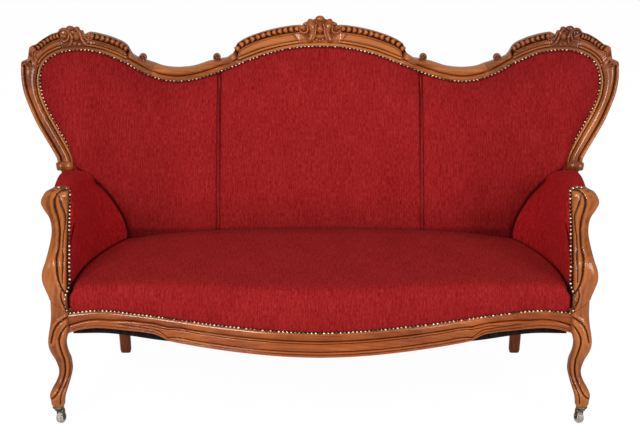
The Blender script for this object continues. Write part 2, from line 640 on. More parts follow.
# heights of the carved face; n is measured from the nails and e from the outer edge
# a roll is (place, half width, height, base), a cut (place, half width, depth), an edge (from, to);
# panels and the channel's cut start and end by station
carvedFace = {
    "lip": -0.0085, "lipEdge": (0.0000, 0.0009),
    "plainRoll": (0.0082, 0.0074, 0.0075, 0.0040), "plainCut": (0.0162, 0.0011, 0.0030),
    "outerFrom": 0.0165, "outerRoll": (0.0125, 0.0035),
    "archRolls": ((0.0058, 0.0056, 0.0045, 0.0038), (0.0160, 0.0044, 0.0058, 0.0048)),
    "archCuts": ((0.0116, 0.0009, 0.0022), (0.0208, 0.0009, 0.0035)),
    "ground": 0.0095, "groundEdge": (0.0208, 0.0216),
    "panel": 0.0034, "panelInner": (0.0222, 0.0234), "panelOuter": (0.0250, 0.0262), "panelFrom": 0.0225,
    "panelSlant": 0.18, "panelRun": 0.02, "panelStart": 0.110, "panelEnd": 0.09,
    "channel": -0.0050, "channelEdge": (0.0202, 0.0212), "rim": 0.0110, "rimInner": (0.0018, 0.0026),
    "rimOuter": (-0.001, 0.0008), "channelCut": (0.0238, 0.0008, 0.0026), "channelCutEnd": (20.35, 20.60),
    "plinth": 0.0052, "plinthEdge": (0.0098, 0.0118), "plinthFade": 0.26,
    "corner": 0.0085, "cornerEdge": (0.0185, 0.0195), "cornerFrom": 0.0190, "cornerSlope": 0.60,
    "stileRoll": (0.0048, 0.0045, 0.0060, 0.0040), "stileTrim": 0.0245, "stileFrom": 0.0105,
    "stileMiddle": (0.0090, 0.0045), "stileBead": (0.0048, 0.0052, 0.0070, 0.0020),
    "stileCut": (0.0098, 0.0009, 0.0030), "stileOuterCut": (0.0118, 0.0016, 0.0055),
}


def frameRows(stations):
    # nail line and outer edge at an array of stations (0 or more)
    whole = np.arange(32)
    nail = curveThrough(whole, backRail["nailLine"], stations)
    outer = curveThrough(whole, backRail["outerEdge"], stations)
    steps = np.asarray(backRail["steps"])
    shift = steps[:, 1:] - curveThrough(whole, backRail["outerEdge"], steps[:, 0])
    for axis in range(2):
        outer[..., axis] = outer[..., axis] + np.interp(stations, steps[:, 0], shift[:, axis])
    return nail, outer


def evenStations(first, last, step):
    # stations spaced evenly along the frame's middle line
    fine = np.linspace(first, last, 2400)
    nail, outer = frameRows(np.abs(fine))
    middle = (nail + outer) / 2
    middle[:, 0] *= np.where(fine < 0, -1, 1)
    length = lengthAlong(middle)
    count = max(8, int(round(length[-1] / step)))
    return np.interp(np.linspace(0, length[-1], count + 1), length, fine)


def fade(stations, limits):
    return smoothStep(stations, limits[0], limits[1]) * (1 - smoothStep(stations, limits[2], limits[3]))


def frameCarving(station, n, e, width):
    # how far the carved face stands proud
    outer = (width + carvedFace["outerFrom"]) / 2
    plain = np.maximum(roll(n, *carvedFace["plainRoll"]),
                       roll(n, outer, width - outer, *carvedFace["outerRoll"]))
    plain = plain + cut(n, *carvedFace["plainCut"])
    archFace = np.maximum(roll(n, *carvedFace["archRolls"][0]), roll(n, *carvedFace["archRolls"][1]))
    archFace = archFace + cut(n, *carvedFace["archCuts"][0]) + cut(n, *carvedFace["archCuts"][1])
    ground = smoothStep(n, *carvedFace["groundEdge"])
    archFace = archFace * (1 - ground) + carvedFace["ground"] * ground
    slant = carvedFace["panelSlant"] * (n - carvedFace["panelFrom"]) / carvedFace["panelRun"]
    inPanel = 0
    for low, high in backRail["panels"]:
        begun = smoothStep(station, low + slant, low + carvedFace["panelStart"] + slant)
        inPanel = inPanel + begun * (1 - smoothStep(station, high, high + carvedFace["panelEnd"]))
    inPanel = inPanel * smoothStep(n, *carvedFace["panelInner"]) * smoothStep(e, *carvedFace["panelOuter"])
    archFace = archFace - carvedFace["panel"] * inPanel
    rim = (1 - smoothStep(e, *carvedFace["rimInner"])) * smoothStep(e, *carvedFace["rimOuter"])
    channel = 1 - smoothStep(e, *carvedFace["channelEdge"])
    archFace = archFace * (1 - channel) + channel * (carvedFace["channel"] + carvedFace["rim"] * rim)
    beforeEnd = 1 - smoothStep(station, *carvedFace["channelCutEnd"])
    archFace = archFace + cut(e, *carvedFace["channelCut"]) * beforeEnd
    reach = carvedFace["plinthFade"]
    plinth = sum(fade(station, (low - reach, low, high, high + reach)) for low, high in backRail["plinths"])
    plinth = plinth * smoothStep(n, *carvedFace["plinthEdge"])
    archFace = archFace * (1 - plinth) + carvedFace["plinth"] * plinth
    corner = fade(station, backRail["corner"]) * (1 - smoothStep(e, *carvedFace["cornerEdge"]))
    bevel = carvedFace["corner"] - carvedFace["cornerSlope"] * np.clip(carvedFace["cornerFrom"] - e, 0, None)
    archFace = archFace * (1 - corner) + corner * bevel
    half = (width - carvedFace["stileTrim"]) / 2
    middle = roll(n, carvedFace["stileFrom"] + half, half, *carvedFace["stileMiddle"])
    stileFace = np.maximum(np.maximum(roll(n, *carvedFace["stileRoll"]), middle),
                           roll(e, *carvedFace["stileBead"]))
    stileFace = stileFace + cut(n, *carvedFace["stileCut"]) + cut(e, *carvedFace["stileOuterCut"])
    arch = sum(fade(station, limits) for limits in backRail["arches"])
    stile = smoothStep(station, *backRail["stileFade"])
    height = plain * (1 - arch) * (1 - stile) + archFace * arch * (1 - stile) + stileFace * stile
    inside = smoothStep(n, *carvedFace["lipEdge"])
    return height * inside + carvedFace["lip"] * (1 - inside)


def frameStain(station, n, e):
    # dark floor behind the rope lobes and at the start of each panel, pale worn tops of the panels
    arch = sum(fade(station, limits) for limits in backRail["arches"])
    channel = (1 - fade(station, backRail["corner"])) * (1 - smoothStep(e, 0.0175, 0.0205))
    panel = smoothStep(e, 0.0255, 0.0275) * smoothStep(n, 0.0225, 0.0245)
    stain = arch * (0.50 * channel * smoothStep(e, 0.0026, 0.0050) - 0.95 * panel)
    for low, high in backRail["panels"]:
        begin = (low + 0.055 +
                 carvedFace["panelSlant"] * (n - carvedFace["panelFrom"]) / carvedFace["panelRun"])
        stain = stain + 1.3 * arch * np.exp(-((station - begin) / 0.050) ** 2) * \
            smoothStep(n, 0.0215, 0.0230) * smoothStep(e, 0.0235, 0.0250)
    return stain


def carvedRail(name, first, last, side, surface, *solids):
    stations = evenStations(first, last, backRail["stationStep"])
    place = np.abs(stations)[:, None]
    nail, outer = frameRows(place[:, 0])
    width = np.linalg.norm(outer - nail, axis=1)[:, None]
    share = np.r_[backRail["innerLip"], np.linspace(-0.004, 1.0, backRail["frontPoints"])][None, :]
    x = nail[:, :1] + share * (outer[:, :1] - nail[:, :1])
    z = nail[:, 1:] + share * (outer[:, 1:] - nail[:, 1:])
    n = share * width
    proud = frameCarving(place, n, width - n, width)
    sign = np.where(stations < 0, -1, 1)[:, None] * side
    front = np.stack([x * sign, backFace(x, z) - proud, z], 2)
    rear = []
    for at, depth in backRail["rear"]:
        px, pz = (nail + at * (outer - nail)).T
        rear.append(np.stack([px * sign[:, 0], backFace(px, pz) + depth, pz], 1))
    rings = np.concatenate([front, np.stack(rear, 1)], 1)
    piece = makePiece(name, rings, ringFaces(len(rings), rings.shape[1]), surface, 50)
    stain = np.concatenate([frameStain(place, n, width - n), np.zeros((len(rings), len(rear)))], 1)
    markHollows(piece, shaded=stain.ravel())
    return finishPiece(piece, *solids, slot="polished_walnut")


gap, crestJoint, stileJoint = backRail["gap"], backRail["crestJoint"], backRail["stileJoint"]
carvedRail("carved_crest_centre", -crestJoint + gap, crestJoint - gap, 1, "walnutCrest", "crest_rail_centre")
for side in (-1, 1):
    carvedRail("carved_crest_" + sideName(side), crestJoint + gap, stileJoint - gap, side,
               "walnutShoulders", "crest_rail_" + sideName(side))
    carvedRail("moulded_stile_" + sideName(side), stileJoint + gap, backRail["lastStation"], side,
               "walnutUpright", "back_stile_" + sideName(side))

print("scene: rope lobes and nails")


def beadTree():
    # Geometry Nodes: small domed shapes spaced along guide lines, lying on the surface they face
    tree = bpy.data.node_groups.new("beadsAlongLine", "GeometryNodeTree")
    for label, kind, value in (("Geometry", "Geometry", None), ("Spacing", "Float", 0.0117),
                               ("Half along", "Float", 0.0055), ("Half across", "Float", 0.0055),
                               ("Half high", "Float", 0.0035), ("Bend", "Float", 0.0), ("Sides", "Int", 8),
                               ("Rings", "Int", 6), ("Seed", "Int", 3), ("Surface", "Material", None)):
        made = tree.interface.new_socket(name=label, in_out="INPUT", socket_type="NodeSocket" + kind)
        if value is not None:
            made.default_value = value
    tree.interface.new_socket(name="Geometry", in_out="OUTPUT", socket_type="NodeSocketGeometry")
    given = put(tree, "NodeGroupInput").outputs
    line = put(tree, "GeometryNodeMeshToCurve", {"Mesh": given["Geometry"]})
    spaced = put(tree, "GeometryNodeResampleCurve", {"Curve": line.outputs[0], "Length": given["Spacing"]},
                 mode="LENGTH")
    shape = put(tree, "GeometryNodeMeshUVSphere", {"Segments": given["Sides"], "Rings": given["Rings"],
                                                   "Radius": 1.0})
    size = put(tree, "ShaderNodeCombineXYZ", {0: given["Half along"], 1: given["Half across"],
                                              2: given["Half high"]})
    sized = put(tree, "GeometryNodeTransform", {"Geometry": shape.outputs["Mesh"], "Scale": size.outputs[0]})
    place = put(tree, "ShaderNodeSeparateXYZ", {0: put(tree, "GeometryNodeInputPosition").outputs[0]})
    curl = times(tree, times(tree, place.outputs[1], place.outputs[1]), given["Bend"])
    offset = put(tree, "ShaderNodeCombineXYZ", {0: curl})
    bent = put(tree, "GeometryNodeSetPosition", {"Geometry": sized.outputs[0], "Offset": offset.outputs[0]})
    lift = maths(tree, "DIVIDE", place.outputs[2], given["Half high"])
    hollow = put(tree, "ShaderNodeMapRange", {"Value": lift, "From Min": 0.08, "From Max": 0.90,
                                              "To Min": 1.0, "To Max": -1.1})
    shaped = put(tree, "GeometryNodeStoreNamedAttribute", {"Geometry": bent.outputs[0], "Name": "hollow",
                                                           "Value": hollow.outputs[0]},
                 data_type="FLOAT", domain="POINT")
    facing = put(tree, "GeometryNodeInputNamedAttribute", {"Name": "facing"}, data_type="FLOAT_VECTOR")
    upright = put(tree, "FunctionNodeAlignRotationToVector", {"Vector": facing.outputs["Attribute"]},
                  axis="Z")
    tangent = put(tree, "GeometryNodeInputTangent")
    along = put(tree, "FunctionNodeAlignRotationToVector",
                {"Rotation": upright.outputs[0], "Vector": tangent.outputs[0]}, axis="X", pivot_axis="Z")
    vary = put(tree, "FunctionNodeRandomValue", {2: 0.93, 3: 1.05, "Seed": given["Seed"]}, data_type="FLOAT")
    beads = put(tree, "GeometryNodeInstanceOnPoints",
                {"Points": spaced.outputs[0], "Instance": shaped.outputs[0], "Rotation": along.outputs[0],
                 "Scale": vary.outputs[1]})
    tone = put(tree, "FunctionNodeRandomValue", {2: -0.5, 3: 1.0, "Seed": 11}, data_type="FLOAT")
    toned = put(tree, "GeometryNodeStoreNamedAttribute", {"Geometry": beads.outputs[0], "Name": "tone",
                                                          "Value": tone.outputs[1]},
                data_type="FLOAT", domain="INSTANCE")
    real = put(tree, "GeometryNodeRealizeInstances", {"Geometry": toned.outputs[0]})
    smooth = put(tree, "GeometryNodeSetShadeSmooth", {"Geometry": real.outputs[0]})
    coated = put(tree, "GeometryNodeSetMaterial", {"Geometry": smooth.outputs[0],
                                                   "Material": given["Surface"]})
    put(tree, "NodeGroupOutput", {"Geometry": coated.outputs[0]})
    return tree


beadsAlongLine = beadTree()


def runBeads(name, lines, surface, body=mainBody, **sizes):
    # lines: lists of (point, facing), points counted from the front feet
    verts, edges, facings = [], [], []
    for line in lines:
        start = len(verts)
        for point, facing in line:
            verts.append((point[0], point[1] - frontSetback, point[2]))
            facings += list(facing)
        edges += [(index, index + 1) for index in range(start, len(verts) - 1)]
    mesh = bpy.data.meshes.new(name)
    mesh.from_pydata(verts, edges, [])
    mesh.attributes.new("facing", "FLOAT_VECTOR", "POINT").data.foreach_set("vector", facings)
    piece = placeObject(name, mesh)
    run = piece.modifiers.new("beads", "NODES")
    run.node_group = beadsAlongLine
    keys = {item.name: item.identifier for item in beadsAlongLine.interface.items_tree
            if item.item_type == "SOCKET" and item.in_out == "INPUT"}
    for label, value in sizes.items():
        run[keys[label.replace("_", " ")]] = value
    run[keys["Surface"]] = finish[surface]
    piece.data = bakedMesh(piece)
    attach(piece, body)
    return piece


def backNormal(x, z):
    step = 0.001
    slopeX = (backFace(x + step, z) - backFace(x - step, z)) / (2 * step)
    slopeZ = (backFace(x, z + step) - backFace(x, z - step)) / (2 * step)
    return Vector((slopeX, -1.0, slopeZ)).normalized()


def frameGuide(first, last, side, fromEdge=None, fromNails=None, proud=0.0, count=60):
    # line along the back frame, at a distance from its outer edge or from its nail line
    line = []
    for station in np.linspace(first, last, count):
        nail, outer = frameRows(np.array([abs(station)]))
        width = np.linalg.norm(outer - nail)
        share = (1 - fromEdge / width) if fromEdge is not None else fromNails / width
        x, z = (nail + share * (outer - nail))[0]
        x = x * side * (1 if station >= 0 else -1)
        facing = backNormal(x, z)
        line.append((Vector((x, backFace(x, z), z)) + facing * proud, facing))
    return line


ropes = {
    # stations of the first lobe, of the round bead's middle and of the last lobe, spacing, bead's half length
    "crest": (1.10, 2.72, 4.42, 0.0150, 0.0080), "shoulder": (13.92, 15.40, 16.72, 0.0140, 0.0076),
    "end": (18.98, 19.75, 20.55, 0.0100, 0.0060),
}
ropeLine = {"fromEdge": 0.0108, "proud": 0.0020}
lobeShape = {"Half_across": 0.0096, "Half_high": 0.0125, "Bend": 58.0, "Sides": 12, "Rings": 8}
beadShape = {"Spacing": 0.05, "Half_across": 0.0080, "Half_high": 0.0130, "Sides": 14, "Rings": 9}


def carveRope(place, first, middle, last, spacing, half):
    # a round bead with a run of lobes on each side, which starts beside it
    lobes, beads = [], []
    for side in (-1, 1):
        beads.append(frameGuide(middle - 0.02, middle + 0.02, side, count=3, **ropeLine))
        station = (beads[-1][2][0] - beads[-1][0][0]).length / 0.04
        clear = (half + 0.56 * spacing) / station
        lobes += [frameGuide(middle - clear, first, side, **ropeLine),
                  frameGuide(middle + clear, last, side, **ropeLine)]
    surface = "carving" if place == "crest" else "carvingDark"
    runBeads("rope_lobes_" + place, lobes, surface, Spacing=spacing, Half_along=spacing * 0.54, **lobeShape)
    runBeads("rope_bead_" + place, beads, surface, Half_along=half, **beadShape)


for place, sizes in ropes.items():
    carveRope(place, *sizes)

nailing = {"Spacing": 0.0117, "Half_along": 0.0046, "Half_across": 0.0047, "Half_high": 0.0042,
           "Sides": 8, "Rings": 6}
backNails = frameGuide(-30.6, 30.6, 1, fromNails=-0.0008, proud=0.0010, count=400)
finishPiece(runBeads("back_nails", [backNails], "nailBrass", **nailing), slot="old_brass")

print("scene: carved cartouches and scrolls")
# balls: (x, z, half across, half up, half deep, proud, turn in degrees)
# straps: rows of (x, z, half width, proud, half deep)
centreCarving = {
    "voxel": 0.00085,
    "middle": (
        (0.000, 1.043, 0.040, 0.036, 0.011, -0.004, 0), (0.000, 1.0772, 0.0145, 0.0098, 0.0110, 0.012, 0),
        (0.000, 1.0455, 0.0098, 0.0140, 0.0100, 0.015, 0),
        (0.000, 1.0225, 0.0140, 0.0080, 0.0080, 0.011, 0),
        (0.000, 1.0095, 0.0050, 0.0050, 0.0050, 0.009, 0)),
    "eachSide": (
        (0.0090, 1.0125, 0.0052, 0.0055, 0.0060, 0.010, 0),
        (0.0545, 1.0500, 0.0105, 0.0062, 0.0080, 0.008, 20),
        (0.0340, 1.0540, 0.0100, 0.0110, 0.0080, 0.002, 0),
        (0.0490, 1.0470, 0.0145, 0.0110, 0.0070, 0.003, 0),
        (0.0515, 1.0465, 0.0058, 0.0052, 0.0060, 0.009, 0)),
    "straps": (
        ((0.0250, 1.0745, 0.0075, 0.008, 0.008), (0.0268, 1.0690, 0.0128, 0.011, 0.011),
         (0.0264, 1.0600, 0.0124, 0.013, 0.012), (0.0245, 1.0500, 0.0104, 0.013, 0.012),
         (0.0232, 1.0400, 0.0088, 0.012, 0.011), (0.0245, 1.0300, 0.0078, 0.011, 0.010),
         (0.0280, 1.0200, 0.0074, 0.011, 0.010), (0.0325, 1.0110, 0.0068, 0.010, 0.009),
         (0.0360, 1.0045, 0.0040, 0.006, 0.005)),
        ((0.0100, 1.063, 0.0030, 0.010, 0.008), (0.0125, 1.056, 0.0038, 0.011, 0.008),
         (0.0135, 1.044, 0.0036, 0.011, 0.008), (0.0150, 1.031, 0.0040, 0.011, 0.008),
         (0.0190, 1.020, 0.0042, 0.010, 0.008), (0.0245, 1.011, 0.0040, 0.009, 0.007),
         (0.0290, 1.005, 0.0024, 0.006, 0.005)),
        ((0.0340, 1.0650, 0.0034, 0.006, 0.007), (0.0420, 1.0640, 0.0038, 0.007, 0.008),
         (0.0490, 1.0605, 0.0034, 0.006, 0.008), (0.0530, 1.0570, 0.0022, 0.004, 0.006)),
        ((0.0400, 1.062, 0.0030, 0.008, 0.007), (0.0390, 1.0541, 0.0034, 0.010, 0.008),
         (0.0372, 1.0452, 0.0034, 0.010, 0.008), (0.0418, 1.0364, 0.0034, 0.010, 0.008),
         (0.0520, 1.0339, 0.0032, 0.009, 0.008), (0.0600, 1.0389, 0.0030, 0.008, 0.007),
         (0.0640, 1.0440, 0.0018, 0.006, 0.005))),
}
shoulderCarving = {
    # the right shoulder; the left one is its mirror
    "voxel": 0.0008,
    "balls": (
        (0.7620, 1.0310, 0.0300, 0.0260, 0.0110, -0.003, 0),
        (0.7700, 1.0545, 0.0125, 0.0082, 0.0100, 0.010, 0),
        (0.7509, 1.0310, 0.0092, 0.0129, 0.0095, 0.014, 10),
        (0.7886, 1.0310, 0.0080, 0.0055, 0.0070, 0.009, 0),
        (0.7148, 1.0303, 0.0090, 0.0042, 0.0060, 0.007, 0),
        (0.7416, 1.0050, 0.0055, 0.0052, 0.0055, 0.009, 0),
        (0.7560, 1.0080, 0.0060, 0.0060, 0.0055, 0.008, 0),
        (0.7900, 1.0370, 0.0150, 0.0150, 0.0080, -0.001, 0),
        (0.7490, 1.0520, 0.0092, 0.0078, 0.0095, 0.010, 0),
        (0.7345, 1.0425, 0.0062, 0.0056, 0.0075, 0.007, 0),
        (0.7935, 1.0330, 0.0066, 0.0060, 0.0065, 0.009, 0)),
    "straps": (
        ((0.7783, 1.0520, 0.0058, 0.009, 0.009), (0.7700, 1.0400, 0.0052, 0.010, 0.009),
         (0.7655, 1.0300, 0.0050, 0.011, 0.009), (0.7650, 1.0189, 0.0048, 0.010, 0.009),
         (0.7680, 1.0090, 0.0044, 0.009, 0.008), (0.7740, 1.0010, 0.0028, 0.006, 0.005)),
        ((0.8050, 1.0430, 0.0030, 0.006, 0.006), (0.8000, 1.0490, 0.0040, 0.008, 0.008),
         (0.7886, 1.0530, 0.0044, 0.009, 0.008), (0.7785, 1.0470, 0.0042, 0.009, 0.008),
         (0.7745, 1.0310, 0.0040, 0.009, 0.008), (0.7801, 1.0185, 0.0040, 0.009, 0.008),
         (0.7910, 1.0170, 0.0034, 0.008, 0.007), (0.7980, 1.0230, 0.0024, 0.006, 0.005)),
        ((0.7490, 1.0520, 0.0060, 0.009, 0.009), (0.7430, 1.0440, 0.0070, 0.010, 0.010),
         (0.7374, 1.0290, 0.0054, 0.010, 0.009), (0.7310, 1.0150, 0.0050, 0.009, 0.009),
         (0.7210, 1.0040, 0.0044, 0.008, 0.008), (0.7120, 0.9985, 0.0026, 0.005, 0.005)),
        ((0.7345, 1.0430, 0.0034, 0.006, 0.006), (0.7300, 1.0370, 0.0040, 0.008, 0.007),
         (0.7265, 1.0270, 0.0036, 0.008, 0.007), (0.7190, 1.0185, 0.0036, 0.008, 0.007),
         (0.7090, 1.0185, 0.0032, 0.007, 0.006), (0.7020, 1.0240, 0.0022, 0.005, 0.005))),
}


def faceBall(side, x, z, across, up, deep, proud, turn=0.0):
    middle = (x * side, float(backFace(x, z)) - proud, z)
    return ball(middle, (across, deep, up), turn=math.radians(turn) * side)


def faceStrap(side, rows):
    return strap([(x * side, float(backFace(x, z)) - proud, z, half, deep)
                  for x, z, half, proud, deep in rows])


def cartouche(name, shapes, surface, voxel, *solids):
    piece = carveTogether(name, shapes, surface, voxel, rounds=2)
    markHollows(piece, 16, 0.0010)
    return finishPiece(piece, *solids, slot="polished_walnut")


shapes = [faceBall(1, *row) for row in centreCarving["middle"]]
for side in (-1, 1):
    shapes += [faceBall(side, *row) for row in centreCarving["eachSide"]]
    shapes += [faceStrap(side, rows) for rows in centreCarving["straps"]]
cartouche("carved_cartouche_centre", shapes, "carving", centreCarving["voxel"], "crest_cartouche_centre")
for side in (-1, 1):
    shapes = [faceBall(side, *row) for row in shoulderCarving["balls"]]
    shapes += [faceStrap(side, rows) for rows in shoulderCarving["straps"]]
    cartouche("carved_cartouche_" + sideName(side), shapes, "carvingDark", shoulderCarving["voxel"],
              "crest_cartouche_" + sideName(side))

scrolls = {
    "voxel": 0.0008, "rollDepth": 0.0126, "ridge": 0.0027,
    # each scroll: centre (x, z), radius, how far the roll's middle stands before the frame, way it winds,
    # and the strap that runs into it
    "inner": ((0.3203, 0.9590), 0.0118, -0.002, -1, ((0.3110, 0.9500, 0.0060, 0.006, 0.009),
                                                     (0.2960, 0.9420, 0.0064, 0.007, 0.009),
                                                     (0.2820, 0.9440, 0.0046, 0.006, 0.008),
                                                     (0.2700, 0.9500, 0.0024, 0.005, 0.006))),
    "outer": ((0.5488, 0.9600), 0.0125, -0.002, 1, ((0.5570, 0.9500, 0.0060, 0.006, 0.009),
                                                    (0.5460, 0.9400, 0.0066, 0.007, 0.009),
                                                    (0.5300, 0.9290, 0.0054, 0.006, 0.008),
                                                    (0.5140, 0.9190, 0.0024, 0.005, 0.006))),
    "ledge": ((0.8960, 0.9500), 0.0086, 0.008, -1, ((0.9140, 0.9510, 0.0052, 0.008, 0.012),
                                                    (0.9080, 0.9530, 0.0062, 0.011, 0.013),
                                                    (0.9020, 0.9550, 0.0056, 0.013, 0.012),
                                                    (0.8950, 0.9570, 0.0040, 0.013, 0.010))),
}


def eyeScroll(side, centre, radius, proud, way, rows):
    # a short roll with an eye and a spiral ridge on its end, and the strap that feeds it
    x, z = centre
    y = float(backFace(x, z)) - proud
    deep = scrolls["rollDepth"]
    end = y - deep
    rings, around, points = 8, 28, []
    for row in range(rings):
        share = row / (rings - 1)
        size = radius * min(1.0, 0.86 + 0.9 * min(share, 1 - share))
        for turn in range(around):
            angle = 2 * math.pi * turn / around
            points.append((side * (x + size * math.cos(angle)), y + deep * (1 - 2 * share),
                           z + size * math.sin(angle)))
    eye = ball((side * x, end, z), (0.27 * radius, 0.0056, 0.27 * radius))
    shapes = [(points, ringFaces(rings, around)), eye]
    spiral = []
    for step in range(22):
        share = step / 21
        angle = way * (2.1 * math.pi * share) + (-0.4 if way > 0 else 3.5)
        reach = radius * (0.88 - 0.32 * share)
        spiral.append((side * (x + reach * math.cos(angle)), end, z + reach * math.sin(angle),
                       scrolls["ridge"] * (1 - 0.30 * share), 0.0054))
    shapes.append(strap(spiral, 8, 60))
    shapes.append(faceStrap(side, rows))
    return shapes


for side in (-1, 1):
    shapes = []
    for place in ("inner", "outer", "ledge"):
        shapes += eyeScroll(side, *scrolls[place])
    cartouche("eye_scrolls_" + sideName(side), shapes, "carvingDark", scrolls["voxel"])

collar = {"voxel": 0.0011, "rows": ((0.8140, 0.6350, 0.0120, 0.004, 0.012),
                                    (0.8020, 0.6370, 0.0150, 0.008, 0.014),
                                    (0.7880, 0.6370, 0.0155, 0.009, 0.014),
                                    (0.7740, 0.6360, 0.0150, 0.008, 0.013),
                                    (0.7640, 0.6350, 0.0125, 0.005, 0.011))}
for side in (-1, 1):
    shapes = [faceStrap(side, collar["rows"])]
    cartouche("collar_scroll_" + sideName(side), shapes, "walnutUpright", collar["voxel"])

print("scene: front rail")
frontRail = {
    # (x, nail line z, lower edge z)
    "edges": ((0.000, 0.300, 0.2260), (0.100, 0.302, 0.2280), (0.200, 0.307, 0.2328),
              (0.300, 0.313, 0.2405), (0.380, 0.320, 0.2490), (0.420, 0.324, 0.2545),
              (0.436, 0.3255, 0.2580), (0.448, 0.3268, 0.2645), (0.470, 0.329, 0.2740),
              (0.500, 0.3315, 0.2790), (0.550, 0.3360, 0.2830), (0.600, 0.340, 0.2875),
              (0.645, 0.341, 0.2895), (0.685, 0.338, 0.2850), (0.7215, 0.334, 0.2750)),
    # heights above the lower edge: (x, under the roll, above the panel, below the panel, edge bead)
    "lines": ((0.000, 0.0488, 0.0424, 0.0188, 0.0100), (0.200, 0.0488, 0.0424, 0.0188, 0.0100),
              (0.350, 0.0475, 0.0411, 0.0184, 0.0096), (0.420, 0.0455, 0.0395, 0.0168, 0.0088),
              (0.436, 0.0425, 0.0355, 0.0130, 0.0075), (0.459, 0.0350, 0.0270, 0.0158, 0.0080),
              (0.494, 0.0318, 0.0232, 0.0158, 0.0074), (0.529, 0.0314, 0.0206, 0.0168, 0.0080),
              (0.564, 0.0300, 0.0190, 0.0180, 0.0085), (0.600, 0.0264, 0.0180, 0.0180, 0.0088),
              (0.640, 0.0262, 0.0180, 0.0180, 0.0094), (0.680, 0.0250, 0.0180, 0.0180, 0.0100),
              (0.7215, 0.0235, 0.0180, 0.0180, 0.0100)),
    "end": 0.7240, "thickness": 0.042, "step": 0.0035, "points": 110,
    "lipDeep": -0.0085, "rebateDeep": -0.0105,
    "bow": 0.085, "bowEnd": 0.660,
    # rolls: (height, base); cuts: (half width, depth); fades: from, to along the rail
    "upperRoll": (0.0082, -0.0040), "middleRoll": (0.0052, -0.0010), "underRoll": (0.0019, 0.0048),
    "panelCut": (0.0014, 0.0032), "rib": (0.0022, 0.0010), "ribFade": (0.490, 0.545),
    "curlCut": (0.0016, 0.0036), "curl": (0.0026, 0.0014), "curlFade": (0.555, 0.600),
    "edgeCut": (0.0012, 0.0022), "knob": (0.448, 0.0110, 0.0120, 0.0060, 0.0022),
    # behind the face: (share of the height, depth behind the face)
    "rear": ((1.22, 0.042), (0.06, 0.042), (0.0, 0.038), (0.0, 0.024)), "rebate": 1.22,
}


def railFace(x):
    share = np.minimum(1.0, np.abs(x) / frontRail["bowEnd"])
    return -frontRail["bow"] * np.cos(np.pi * share / 2) ** 2


def railProud(x, s, tall):
    # s runs from the lower edge (0) to the nails (1)
    above, side = s * tall, np.abs(x)
    underRoll, overPanel, underPanel, edgeBead = (readTable(frontRail["lines"], side, column)
                                                  for column in (1, 2, 3, 4))
    proud = np.maximum(roll(above, (tall + underRoll) / 2, (tall - underRoll) / 2, *frontRail["upperRoll"]),
                       roll(above, underRoll * 0.46, underRoll * 0.56, *frontRail["middleRoll"]))
    proud = proud + cut(above, underRoll, *frontRail["underRoll"])
    rib = 1 - smoothStep(side, *frontRail["ribFade"])
    proud = proud + rib * (cut(above, overPanel, *frontRail["panelCut"]) +
                           hump(above, (underRoll + overPanel) / 2, *frontRail["rib"]))
    curl = 1 - smoothStep(side, *frontRail["curlFade"])
    proud = proud + curl * (cut(above, underPanel, *frontRail["curlCut"]) +
                            hump(above, (underPanel + edgeBead) / 2, *frontRail["curl"]))
    proud = proud + cut(above, edgeBead, *frontRail["edgeCut"])
    along, up, halfAlong, halfUp, height = frontRail["knob"]
    proud = proud + hump(side, along, halfAlong, height) * hump(above, up, halfUp, 1.0)
    proud = proud * smoothStep(above, -0.0008, 0.0030)
    proud = proud + frontRail["lipDeep"] * (1 - smoothStep(above, -0.0008, 0.0022))
    return np.where(s > 0.985, frontRail["rebateDeep"], proud)


def carveRail():
    count = int(2 * frontRail["end"] / frontRail["step"])
    x = np.linspace(-frontRail["end"], frontRail["end"], count)[:, None]
    nail = readTable(frontRail["edges"], np.abs(x), 1)
    low = readTable(frontRail["edges"], np.abs(x), 2)
    s = np.r_[np.linspace(0.0, 1.0, frontRail["points"]), frontRail["rebate"]][None, :]
    z = low + s * (nail - low)
    y = railFace(x) - railProud(x, s, nail - low)
    front = np.stack([np.broadcast_to(x, z.shape), y, z], 2)
    rear = [np.stack([x, railFace(x) + depth, low + at * (nail - low)], 2) for at, depth in frontRail["rear"]]
    rings = np.concatenate([front] + rear, 1)
    piece = makePiece("carved_front_rail", rings, ringFaces(len(rings), rings.shape[1]), "walnutAcross", 55)
    markHollows(piece, 20, 0.0010)
    return finishPiece(piece, "front_seat_rail", slot="polished_walnut")


carveRail()

